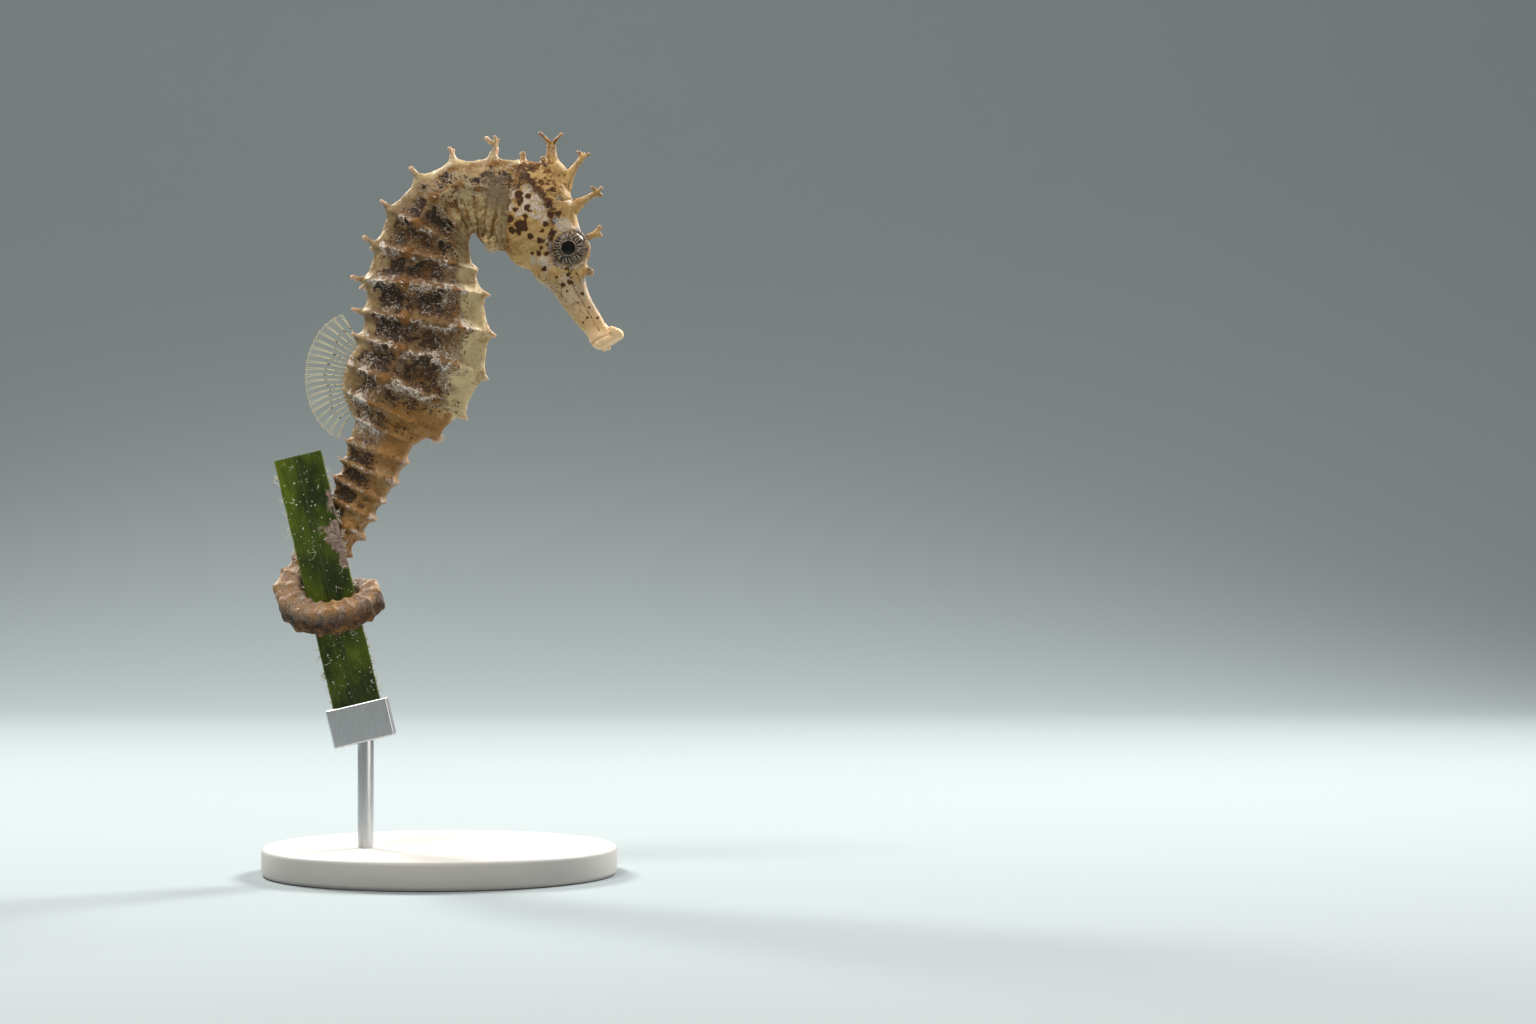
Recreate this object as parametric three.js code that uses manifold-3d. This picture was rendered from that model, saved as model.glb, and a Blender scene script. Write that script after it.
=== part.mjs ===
// Spiny seahorse, life size, holding a cut length of seagrass blade on a plain display stand.
// Millimetres, +Z up.  The animal faces +X, its mid-plane is y = 0, and the underside of the
// stand base lies on z = 0 with its centre at the origin.
import * as THREE from "three";
import { mergeVertices } from "three/addons/utils/BufferGeometryUtils.js";
import Module from "manifold-3d";

const wasm = await Module();
wasm.setup();

// ---------------------------------------------------------------- driving sizes
const GAP = 0.3;                 // clearance between neighbouring parts
const SIDE = { left: 1, right: -1 };

// Neck and trunk: one entry per bony ring.  back and belly are (x, z) of the ring in the
// mid-plane, width is the full width from side to side.
const TRUNK_RINGS = [
  { back: [13.9, 124.8], belly: [11.3, 108.9], width: 9.2 },    // behind the gill cover
  { back: [9.4, 125.0], belly: [8.0, 109.9], width: 9.3 },      // neck
  { back: [2.6, 124.3], belly: [5.9, 112.1], width: 9.0 },
  { back: [-3.4, 121.5], belly: [5.1, 110.6], width: 9.5 },
  { back: [-8.4, 115.9], belly: [5.3, 108.4], width: 10.4 },    // shoulders
  { back: [-11.0, 109.7], belly: [5.9, 105.7], width: 11.4 },
  { back: [-12.6, 103.7], belly: [7.2, 101.4], width: 12.4 },   // trunk
  { back: [-12.9, 98.1], belly: [8.3, 94.6], width: 13.0 },
  { back: [-13.9, 93.7], belly: [7.2, 87.3], width: 13.0 },
  { back: [-16.2, 89.1], belly: [3.8, 81.0], width: 12.2 },     // dorsal fin base
  { back: [-16.8, 84.5], belly: [-0.6, 77.0], width: 10.8 },
  { back: [-14.9, 79.7], belly: [-4.3, 74.9], width: 9.6 },     // end of the trunk
];
const LAST_RING = TRUNK_RINGS.length - 1;
const RING_RIDGE = 0.4;          // height of a ring ridge above the skin between rings
const NECK_END = 2.5;            // ring numbers at which the body is divided
const CHEST_END = 5.5;
const TRUNK_END = 8.5;

// Tail: centre line from the trunk, down behind the blade, once round it and in behind again.
// deep is the half size from the outside of the curl to its inside, wide the half width.
const TAIL_STATIONS = [
  { at: [-9.6, 0.0, 77.3], deep: 5.8, wide: 4.8 },              // leaves the trunk
  { at: [-12.1, 0.0, 70.6], deep: 5.1, wide: 4.5 },
  { at: [-14.0, 0.0, 66.8], deep: 4.6, wide: 4.1 },
  { at: [-15.9, -0.1, 62.9], deep: 3.9, wide: 3.7 },
  { at: [-18.2, -0.5, 58.9], deep: 3.2, wide: 3.3 },
  { at: [-20.8, -0.9, 55.6], deep: 2.7, wide: 3.1 },            // behind the blade
  { at: [-23.3, -1.3, 53.0], deep: 2.4, wide: 2.9 },
  { at: [-25.2, -2.7, 50.7], deep: 2.3, wide: 2.8 },
  { at: [-25.8, -4.8, 48.6], deep: 2.3, wide: 2.8 },            // round the left edge
  { at: [-24.4, -7.0, 46.4], deep: 2.3, wide: 2.8 },
  { at: [-21.5, -8.1, 45.1], deep: 2.3, wide: 2.7 },            // across the front
  { at: [-17.5, -8.1, 45.1], deep: 2.3, wide: 2.7 },
  { at: [-13.9, -7.2, 46.2], deep: 2.2, wide: 2.5 },
  { at: [-11.6, -5.0, 47.9], deep: 2.1, wide: 2.3 },            // round the right edge
  { at: [-12.3, -2.7, 49.5], deep: 1.8, wide: 1.9 },
  { at: [-15.0, -1.7, 49.9], deep: 1.4, wide: 1.5 },            // behind the blade again
  { at: [-17.8, -1.8, 49.2], deep: 1.0, wide: 1.1 },
  { at: [-20.3, -2.0, 48.2], deep: 0.5, wide: 0.5 },            // tip
];
const TAIL_RING_COUNT = 22;
const TAIL_RING_CROWDING = 0.3;  // rings stand closer together towards the tip
const TAIL_RIDGE = 0.3;
const TAIL_CUTS = { base: 3.55, bend: 7.0, left: 9.8, front: 12.2, right: 14.4 };
const COIL_TILT = THREE.MathUtils.degToRad(35);   // front of the coil hangs lower than its back

// Head and snout: top and bottom (x, z) in the mid-plane and full width.
const HEAD_STATIONS = [
  { top: [14.2, 124.8], bottom: [11.6, 108.9], width: 9.2 },    // rear edge of the gill cover
  { top: [16.4, 124.6], bottom: [12.4, 107.5], width: 10.0 },
  { top: [19.4, 123.8], bottom: [13.7, 106.4], width: 10.0 },
  { top: [21.9, 121.2], bottom: [15.0, 105.9], width: 9.4 },
  { top: [23.3, 117.3], bottom: [15.8, 105.5], width: 8.4 },    // forehead
  { top: [24.4, 113.3], bottom: [16.5, 104.7], width: 7.8 },    // above the eye
  { top: [25.5, 109.7], bottom: [17.3, 103.6], width: 7.4 },
  { top: [25.7, 106.6], bottom: [18.5, 102.8], width: 6.4 },
  { top: [25.4, 104.1], bottom: [19.7, 101.7], width: 5.2 },    // root of the snout
];
const SNOUT_STATIONS = [
  { top: [25.5, 103.8], bottom: [19.9, 101.4], width: 5.1 },
  { top: [26.4, 100.7], bottom: [22.0, 98.6], width: 4.3 },
  { top: [27.8, 98.3], bottom: [24.0, 96.1], width: 3.9 },
  { top: [29.0, 96.3], bottom: [25.7, 94.2], width: 3.7 },
  { top: [30.2, 95.2], bottom: [26.4, 92.7], width: 3.9 },
  { top: [31.7, 95.0], bottom: [27.4, 91.7], width: 4.2 },      // lips
  { top: [32.2, 93.7], bottom: [28.9, 91.5], width: 3.6 },
];
const EYE = { at: [22.7, 3.0, 109.2], radius: 3.2, halfDepth: 2.0 };

// Spines on the back: ring number, length, and whether the tip is forked.
const BACK_SPINES = [
  { ring: 1, length: 3.5, forked: true },
  { ring: 2, length: 2.4, forked: false },
  { ring: 3, length: 2.1, forked: false },
  { ring: 4, length: 1.8, forked: false },
  { ring: 5, length: 1.9, forked: true },
  { ring: 6, length: 2.2, forked: true },
  { ring: 7, length: 1.6, forked: false },
  { ring: 8, length: 1.0, forked: false },
];
const KEEL_SPINES = [
  { ring: 5, length: 0.6 },
  { ring: 6, length: 1.4 },
  { ring: 7, length: 1.5 },
  { ring: 8, length: 1.2 },
  { ring: 9, length: 1.5 },
];
const SPINE_BASE_RADIUS = 0.75;
const SPINE_TIP_RADIUS = 0.3;
const LATERAL_TUBERCLE = 0.9;    // height of the knobs half way down the side of each ring
const LOWER_TUBERCLE = 0.7;      // and of the row next to the keel

const FIN_THICKNESS = 0.6;
const DORSAL_FIN = {
  baseTop: [-14.3, 93.2], baseBottom: [-16.2, 80.4], inside: [-12.0, 86.5],
  middle: [-15.6, 86.9], reachBack: 8.0, reachUp: 11.2,
  rays: 18, startAngle: 99, endAngle: 258,
};
const PECTORAL_FIN = { root: [12.4, 119.2], reach: 5.2, halfSpread: 48, rays: 9, flare: 14 };
const ANAL_FIN = { root: [-1.2, 77.6], reach: 2.6, startAngle: -88, endAngle: -38 };

const BLADE = { top: [-24.3, 73.1], bottom: [-13.3, 26.9], y: -4.8, width: 8.6, thickness: 0.9 };
const STAND = {
  baseRadius: 31, baseThickness: 5, bevel: 0.8,
  rodRadius: 1.4, rodTop: 25.2, socketDepth: 2.4,
  clipWidth: 10.8, clipDepth: 3.4, clipAbove: 3.2, clipBelow: 3.6,
};

// ---------------------------------------------------------------- small helpers
const Y_AXIS = new THREE.Vector3(0, 1, 0);

function inMidPlane([x, z]) {
  return new THREE.Vector3(x, 0, z);
}

// Value of a list of numbers between its entries, smooth through every entry.
function valueAlong(values, position) {
  const points = values.map((value) => new THREE.Vector3(value, 0, 0));
  const curve = new THREE.CatmullRomCurve3(points, false, "catmullrom", 0.5);
  return curve.getPoint(position / (values.length - 1)).x;
}

function pointAlong(points, position) {
  const curve = new THREE.CatmullRomCurve3(points, false, "catmullrom", 0.5);
  return curve.getPoint(position / (points.length - 1));
}

function toSolid(geometry) {
  const clean = geometry.index ? geometry.toNonIndexed() : geometry.clone();
  clean.deleteAttribute("normal");
  clean.deleteAttribute("uv");
  const merged = mergeVertices(clean, 1e-4);
  const mesh = new wasm.Mesh({
    numProp: 3,
    vertProperties: new Float32Array(merged.attributes.position.array),
    triVerts: new Uint32Array(merged.index.array),
  });
  return new wasm.Manifold(mesh);
}

function joined(solids) {
  return solids.reduce((sum, solid) => sum.add(solid));
}

// Closed skin through a row of sections that all have the same number of points.
function loft(sections) {
  const count = sections[0].length;
  const positions = [];
  const triangle = (a, b, c) => positions.push(...a.toArray(), ...b.toArray(), ...c.toArray());
  for (let row = 0; row + 1 < sections.length; row += 1) {
    for (let i = 0; i < count; i += 1) {
      const j = (i + 1) % count;
      triangle(sections[row][i], sections[row + 1][i], sections[row + 1][j]);
      triangle(sections[row][i], sections[row + 1][j], sections[row][j]);
    }
  }
  const middle = (section) => section
    .reduce((sum, point) => sum.add(point), new THREE.Vector3())
    .divideScalar(count);
  const first = sections[0];
  const last = sections[sections.length - 1];
  const firstMiddle = middle(first);
  const lastMiddle = middle(last);
  for (let i = 0; i < count; i += 1) {
    const j = (i + 1) % count;
    triangle(firstMiddle, first[i], first[j]);
    triangle(lastMiddle, last[j], last[i]);
  }
  const geometry = new THREE.BufferGeometry();
  geometry.setAttribute("position", new THREE.Float32BufferAttribute(positions, 3));
  const solid = toSolid(geometry);
  if (solid.volume() >= 0) {
    return solid;
  }
  const flipped = [];
  for (let i = 0; i < positions.length; i += 9) {
    flipped.push(...positions.slice(i, i + 3));
    flipped.push(...positions.slice(i + 6, i + 9));
    flipped.push(...positions.slice(i + 3, i + 6));
  }
  const turned = new THREE.BufferGeometry();
  turned.setAttribute("position", new THREE.Float32BufferAttribute(flipped, 3));
  return toSolid(turned);
}

// Round bar that narrows from one end to the other.
function taperedBar(from, to, fromRadius, toRadius, sides = 6) {
  const along = to.clone().sub(from);
  const geometry = new THREE.CylinderGeometry(toRadius, fromRadius, along.length(), sides);
  geometry.translate(0, along.length() / 2, 0);
  const turn = new THREE.Quaternion().setFromUnitVectors(Y_AXIS, along.normalize());
  geometry.applyQuaternion(turn);
  geometry.translate(from.x, from.y, from.z);
  return toSolid(geometry);
}

function knob(at, radius) {
  const geometry = new THREE.OctahedronGeometry(radius, 0);
  geometry.translate(at.x, at.y, at.z);
  return toSolid(geometry);
}

// A spine: a narrowing stem with a plain knob or a small fork at its end.
function spine(root, direction, length, forked, baseRadius = SPINE_BASE_RADIUS) {
  const out = direction.clone().normalize();
  const buried = root.clone().addScaledVector(out, -0.9);
  const tip = root.clone().addScaledVector(out, length);
  if (!forked) {
    const stem = taperedBar(buried, tip, baseRadius, SPINE_TIP_RADIUS, 5);
    return stem.add(knob(tip, SPINE_TIP_RADIUS * 1.7));
  }
  const crotch = root.clone().addScaledVector(out, length * 0.66);
  const across = out.clone().cross(Y_AXIS).normalize();
  const pieces = [taperedBar(buried, crotch, baseRadius, SPINE_TIP_RADIUS * 1.2, 5)];
  for (const sign of [-1, 1]) {
    const start = crotch.clone().addScaledVector(out, -0.2);
    const prong = tip.clone().addScaledVector(across, sign * length * 0.22);
    pieces.push(taperedBar(start, prong, SPINE_TIP_RADIUS, SPINE_TIP_RADIUS * 1.25, 4));
  }
  return joined(pieces);
}

// ---------------------------------------------------------------- body sections
// Half sections as (position from back 0 to belly 1, half width 0 to 1).
const TRUNK_SECTION = [
  [0.03, 0.0], [0.02, 0.40], [0.16, 0.76], [0.36, 1.0], [0.57, 0.94],
  [0.77, 0.74], [0.91, 0.34], [1.0, 0.0],
];
// Numbers of the outline points that carry the rows of knobs, on both sides.
const LATERAL_ROW = [3, 11];
const LOWER_ROW = [5, 9];
const TAIL_UPPER_ROW = [1, 13];
const TAIL_LOWER_ROW = [6, 8];
const TAIL_SECTION = [
  [0.06, 0.0], [0.03, 0.62], [0.20, 0.92], [0.42, 0.90], [0.60, 0.88],
  [0.82, 0.86], [0.96, 0.55], [0.95, 0.0],
];

function closedOutline(halfSection) {
  const inner = halfSection.slice(1, -1);
  const mirrored = inner.map(([u, v]) => [u, -v]).reverse();
  return [...halfSection, ...mirrored];
}

function blendedOutline(weight) {
  const half = TRUNK_SECTION.map(([u, v], i) => [
    THREE.MathUtils.lerp(u, TAIL_SECTION[i][0], weight),
    THREE.MathUtils.lerp(v, TAIL_SECTION[i][1], weight),
  ]);
  return closedOutline(half);
}

// Section in space.  frame has a centre, a unit vector to the back and one to the side, and
// raiseAt gives how far each numbered point of the outline is pushed outwards.
function placedSection(outline, frame, raiseAt, shift = 0) {
  const forward = frame.toBack.clone().cross(frame.toSide);
  return outline.map(([u, v], index) => {
    const deep = (1 - 2 * u) * frame.deep;
    const wide = v * frame.wide;
    const outward = new THREE.Vector2(deep, wide).normalize().multiplyScalar(raiseAt(index));
    return frame.centre.clone()
      .addScaledVector(frame.toBack, deep + outward.x)
      .addScaledVector(frame.toSide, wide + outward.y)
      .addScaledVector(forward, shift);
  });
}

function trunkFrame(ring) {
  const back = pointAlong(TRUNK_RINGS.map((entry) => inMidPlane(entry.back)), ring);
  const belly = pointAlong(TRUNK_RINGS.map((entry) => inMidPlane(entry.belly)), ring);
  const span = back.clone().sub(belly);
  return {
    centre: back.clone().add(belly).multiplyScalar(0.5),
    toBack: span.clone().normalize(),
    toSide: Y_AXIS.clone(),
    deep: span.length() / 2,
    wide: valueAlong(TRUNK_RINGS.map((entry) => entry.width), ring) / 2,
  };
}

// The first section of a piece moves on by amount and the last one moves back by it.
function endShift(index, count, amount) {
  if (index === 0) {
    return amount;
  }
  return index === count - 1 ? -amount : 0;
}

// Trunk between two ring numbers.  inflate grows it for cutting a clearance.
function trunkSolid(start, end, inflate = 0, grow = 0) {
  const stops = new Set([start, end]);
  for (let ring = Math.floor(start); ring <= Math.ceil(end); ring += 1) {
    for (const offset of [-0.22, 0, 0.22]) {
      const position = ring + offset;
      if (position > start + 0.1 && position < end - 0.1) {
        stops.add(position);
      }
    }
  }
  const ordered = [...stops].sort((a, b) => a - b);
  // The sections run from head to tail; both ends are drawn in by half the gap.
  const sections = ordered.map((position, i) => {
    const onRing = Number.isInteger(position);
    const onKnob = onRing && position > 0 && position < LAST_RING;
    const raiseAt = (index) => {
      const ridge = onRing ? RING_RIDGE : 0;
      const lateral = onKnob && LATERAL_ROW.includes(index) ? LATERAL_TUBERCLE : 0;
      const lower = onKnob && LOWER_ROW.includes(index) ? LOWER_TUBERCLE : 0;
      return ridge + lateral + lower + inflate;
    };
    const tailLike = THREE.MathUtils.smoothstep(position, 9.6, 11);
    const shift = endShift(i, ordered.length, GAP / 2 - grow);
    return placedSection(blendedOutline(tailLike), trunkFrame(position), raiseAt, shift);
  });
  return loft(sections);
}

function pointOnSection(frame, u, v, raise = 0) {
  return placedSection([[u, v]], frame, () => raise)[0];
}

function backSpines(start, end) {
  const solids = [];
  for (const entry of BACK_SPINES) {
    if (entry.ring < start || entry.ring > end) {
      continue;
    }
    const frame = trunkFrame(entry.ring);
    for (const side of Object.values(SIDE)) {
      const root = pointOnSection(frame, 0.02, 0.36 * side);
      const direction = frame.toBack.clone().addScaledVector(Y_AXIS, 0.28 * side);
      solids.push(spine(root, direction, entry.length, entry.forked));
    }
  }
  return solids;
}

function keelSpines(start, end) {
  return KEEL_SPINES.filter((entry) => entry.ring > start && entry.ring < end).map((entry) => {
    const frame = trunkFrame(entry.ring);
    const root = pointOnSection(frame, 1, 0);
    return spine(root, frame.toBack.clone().negate(), entry.length, false, 0.9);
  });
}

// Rounded lower edge of the gill opening, where the throat meets the chest.
function throat() {
  const geometry = new THREE.SphereGeometry(1, 8, 6);
  geometry.scale(1.7, 3.0, 1.3);
  geometry.translate(9.5, 0, 110.0);
  return toSolid(geometry);
}

function trunkPart(start, end) {
  return joined([trunkSolid(start, end), ...backSpines(start, end), ...keelSpines(start, end)]);
}

// ---------------------------------------------------------------- tail
const TAIL_CURVE = new THREE.CatmullRomCurve3(
  TAIL_STATIONS.map((entry) => new THREE.Vector3(...entry.at)), false, "centripetal",
);
const LAST_STATION = TAIL_STATIONS.length - 1;
const BLADE_DOWN = inMidPlane(BLADE.bottom).sub(inMidPlane(BLADE.top)).normalize();

// Frame at a station number; the back of the tail turns from facing left on the straight
// length to facing outward all round the coil.
function tailFrame(station) {
  const t = station / LAST_STATION;
  const forward = TAIL_CURVE.getTangent(t);
  const coilAxis = BLADE_DOWN.clone().multiplyScalar(Math.cos(COIL_TILT));
  coilAxis.addScaledVector(Y_AXIS, Math.sin(COIL_TILT));
  const straight = Y_AXIS.clone().cross(forward).normalize();
  const coiled = coilAxis.cross(forward).normalize();
  const weight = THREE.MathUtils.smoothstep(station, 2, 5.5);
  const toBack = straight.multiplyScalar(1 - weight).addScaledVector(coiled, weight);
  toBack.addScaledVector(forward, -toBack.dot(forward)).normalize();
  return {
    centre: TAIL_CURVE.getPoint(t),
    toBack,
    toSide: toBack.clone().cross(forward).negate(),
    deep: valueAlong(TAIL_STATIONS.map((entry) => entry.deep), station),
    wide: valueAlong(TAIL_STATIONS.map((entry) => entry.wide), station),
  };
}

// Station number of a tail ring.
function tailRingStation(ring) {
  const share = ring / TAIL_RING_COUNT;
  const length = share * (1 + TAIL_RING_CROWDING) - TAIL_RING_CROWDING * share * share;
  return TAIL_CURVE.getUtoTmapping(Math.min(length, 1)) * LAST_STATION;
}

// Height of the point on each ring corner of the tail.
function tailKnob(deep, index) {
  if (TAIL_UPPER_ROW.includes(index)) {
    return THREE.MathUtils.clamp(deep * 0.34, 0.2, 1.2);
  }
  if (TAIL_LOWER_ROW.includes(index)) {
    return THREE.MathUtils.clamp(deep * 0.2 - 0.1, 0.05, 0.6);
  }
  return 0;
}

function tailSolid(start, end, inflate = 0) {
  const stops = [{ station: start, onRing: false }, { station: end, onRing: false }];
  for (let ring = 0; ring < TAIL_RING_COUNT; ring += 1) {
    for (const offset of [-0.26, 0, 0.26]) {
      const station = tailRingStation(ring + offset);
      if (station > start + 0.1 && station < end - 0.1) {
        stops.push({ station, onRing: offset === 0 && ring > 0 });
      }
    }
  }
  stops.sort((a, b) => a.station - b.station);
  const sections = stops.map(({ station, onRing }, i) => {
    const frame = station === 0 ? trunkFrame(LAST_RING) : tailFrame(station);
    const slender = Math.min(1, frame.deep / 2);
    const raiseAt = (index) => {
      const knobs = onRing ? tailKnob(frame.deep, index) + TAIL_RIDGE * slender : 0;
      return knobs + inflate;
    };
    const isTip = i === stops.length - 1 && end === LAST_STATION;
    const shift = isTip ? 0 : endShift(i, stops.length, GAP / 2);
    return placedSection(blendedOutline(1), frame, raiseAt, shift);
  });
  return loft(sections);
}

// ---------------------------------------------------------------- head
const HEAD_OUTLINE_POINTS = 14;
const HEAD_STEPS = 13;

function ovalSections(stations, steps, squareness, inflate) {
  const sections = [];
  for (let step = 0; step <= steps; step += 1) {
    const position = (step / steps) * (stations.length - 1);
    const top = pointAlong(stations.map((entry) => inMidPlane(entry.top)), position);
    const bottom = pointAlong(stations.map((entry) => inMidPlane(entry.bottom)), position);
    const wide = valueAlong(stations.map((entry) => entry.width), position) / 2 + inflate;
    const middle = top.clone().add(bottom).multiplyScalar(0.5);
    const up = top.clone().sub(bottom);
    const deep = up.length() / 2 + inflate;
    up.normalize();
    const section = [];
    for (let i = 0; i < HEAD_OUTLINE_POINTS; i += 1) {
      const angle = (i / HEAD_OUTLINE_POINTS) * 2 * Math.PI;
      const across = Math.sin(angle);
      const along = Math.cos(angle);
      const point = middle.clone();
      point.addScaledVector(up, Math.sign(along) * Math.abs(along) ** squareness * deep);
      point.addScaledVector(Y_AXIS, Math.sign(across) * Math.abs(across) ** squareness * wide);
      section.push(point);
    }
    sections.push(section);
  }
  return sections;
}

function eyeball(side, inflate = 0) {
  const geometry = new THREE.SphereGeometry(1, 16, 8);
  const radius = EYE.radius + inflate;
  geometry.rotateX(Math.PI / 2);
  geometry.scale(radius, EYE.halfDepth + inflate, radius);
  geometry.translate(EYE.at[0], EYE.at[1] * side, EYE.at[2]);
  return toSolid(geometry);
}

function headSpine(root, tip, y, baseRadius, fork) {
  const from = new THREE.Vector3(root[0], y * 0.8, root[1]);
  const to = new THREE.Vector3(tip[0], y, tip[1]);
  const along = to.clone().sub(from);
  return spine(from, along, along.length(), fork, baseRadius);
}

function headPart() {
  const skull = loft(ovalSections(HEAD_STATIONS, HEAD_STEPS, 0.92, 0));
  const spines = [headSpine([23.4, 117.2], [28.2, 119.2], 0, 1.3, true)];
  spines.push(headSpine([25.2, 106.4], [26.5, 105.3], 0, 1.0, false));
  spines.push(headSpine([14.6, 123.4], [14.6, 125.7], 0, 1.1, false));
  for (const side of Object.values(SIDE)) {
    spines.push(headSpine([24.3, 110.9], [28.0, 112.6], 1.8 * side, 0.9, true));
    spines.push(headSpine([13.7, 107.4], [13.3, 106.6], 1.8 * side, 0.7, false));
  }
  const withSpines = joined([skull, ...spines]);
  const sockets = joined([eyeball(SIDE.left, GAP), eyeball(SIDE.right, GAP)]);
  const behind = neckEndBlock();
  return withSpines.subtract(sockets).subtract(behind);
}

// Block behind the rear plane of the head; trims the rear head spines clear of the neck.
function neckEndBlock() {
  const first = HEAD_STATIONS[0];
  const up = inMidPlane(first.top).sub(inMidPlane(first.bottom));
  const length = up.length();
  const geometry = new THREE.BoxGeometry(6, 14, length + 8);
  geometry.translate(-3, 0, length / 2);
  geometry.rotateY(Math.atan2(up.x, up.z));
  geometry.translate(first.bottom[0], 0, first.bottom[1]);
  return toSolid(geometry);
}

function coronetPart() {
  const pedestal = new THREE.SphereGeometry(1, 10, 6);
  pedestal.scale(3.9, 2.5, 2.6);
  pedestal.rotateY(THREE.MathUtils.degToRad(38));
  pedestal.translate(20.4, 0, 122.2);
  const pieces = [toSolid(pedestal)];
  const root = new THREE.Vector3(19.4, 0, 123.2);
  const crotch = new THREE.Vector3(19.5, 0, 127.2);
  pieces.push(taperedBar(root, crotch, 1.9, 0.85, 6));
  for (const tipX of [17.5, 21.1]) {
    const tip = new THREE.Vector3(tipX, 0, 129.4);
    pieces.push(taperedBar(crotch, tip, 0.8, 0.38, 5));
    pieces.push(knob(tip, 0.6));
  }
  pieces.push(headSpine([21.6, 122.0], [25.2, 125.8], 0, 1.4, true));
  for (const side of Object.values(SIDE)) {
    pieces.push(headSpine([19.0, 122.8], [18.6, 125.9], 3.2 * side, 1.0, false));
  }
  const clearance = loft(ovalSections(HEAD_STATIONS, HEAD_STEPS, 0.92, GAP));
  return joined(pieces).subtract(clearance);
}

function snoutPart() {
  return loft(ovalSections(SNOUT_STATIONS, 10, 1.0, 0));
}

// ---------------------------------------------------------------- fins
const SCALLOP = 0.25;            // how far the margin dips between two rays

// Margin of a fin: points at the ray tips and, drawn in a little, between them.
function fanMargin(middle, rays, startAngle, endAngle, reachAt) {
  const points = [];
  for (let step = 0; step <= rays * 2; step += 1) {
    const share = step / (rays * 2);
    const angle = THREE.MathUtils.degToRad(THREE.MathUtils.lerp(startAngle, endAngle, share));
    const reach = reachAt(angle) - (step % 2) * SCALLOP;
    points.push([middle[0] + reach * Math.cos(angle), middle[1] + reach * Math.sin(angle)]);
  }
  return points;
}

// Thin plate in the x-z plane, centred on y = 0.
function finPlate(outline) {
  const shape = new THREE.Shape(outline.map(([x, z]) => new THREE.Vector2(x, z)));
  const geometry = new THREE.ExtrudeGeometry(shape, { depth: FIN_THICKNESS, bevelEnabled: false });
  geometry.translate(0, 0, -FIN_THICKNESS / 2);
  geometry.rotateX(Math.PI / 2);
  return geometry;
}

function dorsalFin() {
  const { middle, rays, startAngle, endAngle, reachBack, reachUp } = DORSAL_FIN;
  const reachAt = (angle) => 1 / Math.hypot(Math.cos(angle) / reachBack, Math.sin(angle) / reachUp);
  const margin = fanMargin(middle, rays, startAngle, endAngle, reachAt);
  const outline = [DORSAL_FIN.baseTop, ...margin, DORSAL_FIN.baseBottom, DORSAL_FIN.inside];
  const plate = toSolid(finPlate(outline));
  return plate.subtract(trunkSolid(6.5, LAST_RING, GAP, GAP)).subtract(tailSolid(0, 2.5, GAP));
}

function pectoralFin(side) {
  const { root, reach, halfSpread, rays, flare } = PECTORAL_FIN;
  const margin = fanMargin([0, 0], rays, 180 - halfSpread, 180 + halfSpread, () => reach);
  const geometry = finPlate([[0, 0], ...margin]);
  geometry.rotateZ(THREE.MathUtils.degToRad(flare) * -side);
  geometry.translate(root[0], side * 5.3, root[1]);
  const neck = trunkSolid(0, 3, GAP, GAP);
  const head = loft(ovalSections(HEAD_STATIONS, HEAD_STEPS, 0.92, GAP));
  return toSolid(geometry).subtract(neck).subtract(head);
}

function analFin() {
  const { root, reach, startAngle, endAngle } = ANAL_FIN;
  const margin = fanMargin(root, 4, startAngle, endAngle, () => reach);
  const plate = toSolid(finPlate([root, ...margin]));
  return plate.subtract(trunkSolid(8, LAST_RING, GAP, GAP)).subtract(tailSolid(0, 2.5, GAP));
}

// ---------------------------------------------------------------- perch and stand
function bladeAcross() {
  return Y_AXIS.clone().cross(BLADE_DOWN).negate();
}

function bladeSolid(inflate = 0) {
  const half = BLADE.width / 2 + inflate;
  const thin = BLADE.thickness / 2 + inflate;
  const outline = [
    [-half, -thin * 0.5], [-half * 0.5, -thin * 0.9], [0, -thin], [half * 0.5, -thin * 0.9],
    [half, -thin * 0.5], [half, thin * 0.5], [half * 0.5, thin * 0.9], [0, thin],
    [-half * 0.5, thin * 0.9], [-half, thin * 0.5],
  ];
  const across = bladeAcross();
  const steps = 1;
  const sections = [];
  for (let step = 0; step <= steps; step += 1) {
    const overrun = step === 0 ? -inflate : step === steps ? inflate : 0;
    const middle = inMidPlane(BLADE.top).lerp(inMidPlane(BLADE.bottom), step / steps);
    middle.addScaledVector(BLADE_DOWN, overrun).setY(BLADE.y);
    sections.push(outline.map(([a, b]) => middle.clone()
      .addScaledVector(across, a)
      .addScaledVector(Y_AXIS, b)));
  }
  return loft(sections);
}

function rodSolid(inflate = 0) {
  const bottom = STAND.baseThickness - STAND.socketDepth + GAP - inflate;
  const height = STAND.rodTop + inflate - bottom;
  const radius = STAND.rodRadius + inflate;
  const geometry = new THREE.CylinderGeometry(radius, radius, height, 16);
  geometry.rotateX(Math.PI / 2);
  const lower = inMidPlane(BLADE.bottom).addScaledVector(BLADE_DOWN, STAND.clipBelow);
  geometry.translate(lower.x, BLADE.y, bottom + height / 2);
  return toSolid(geometry);
}

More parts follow.
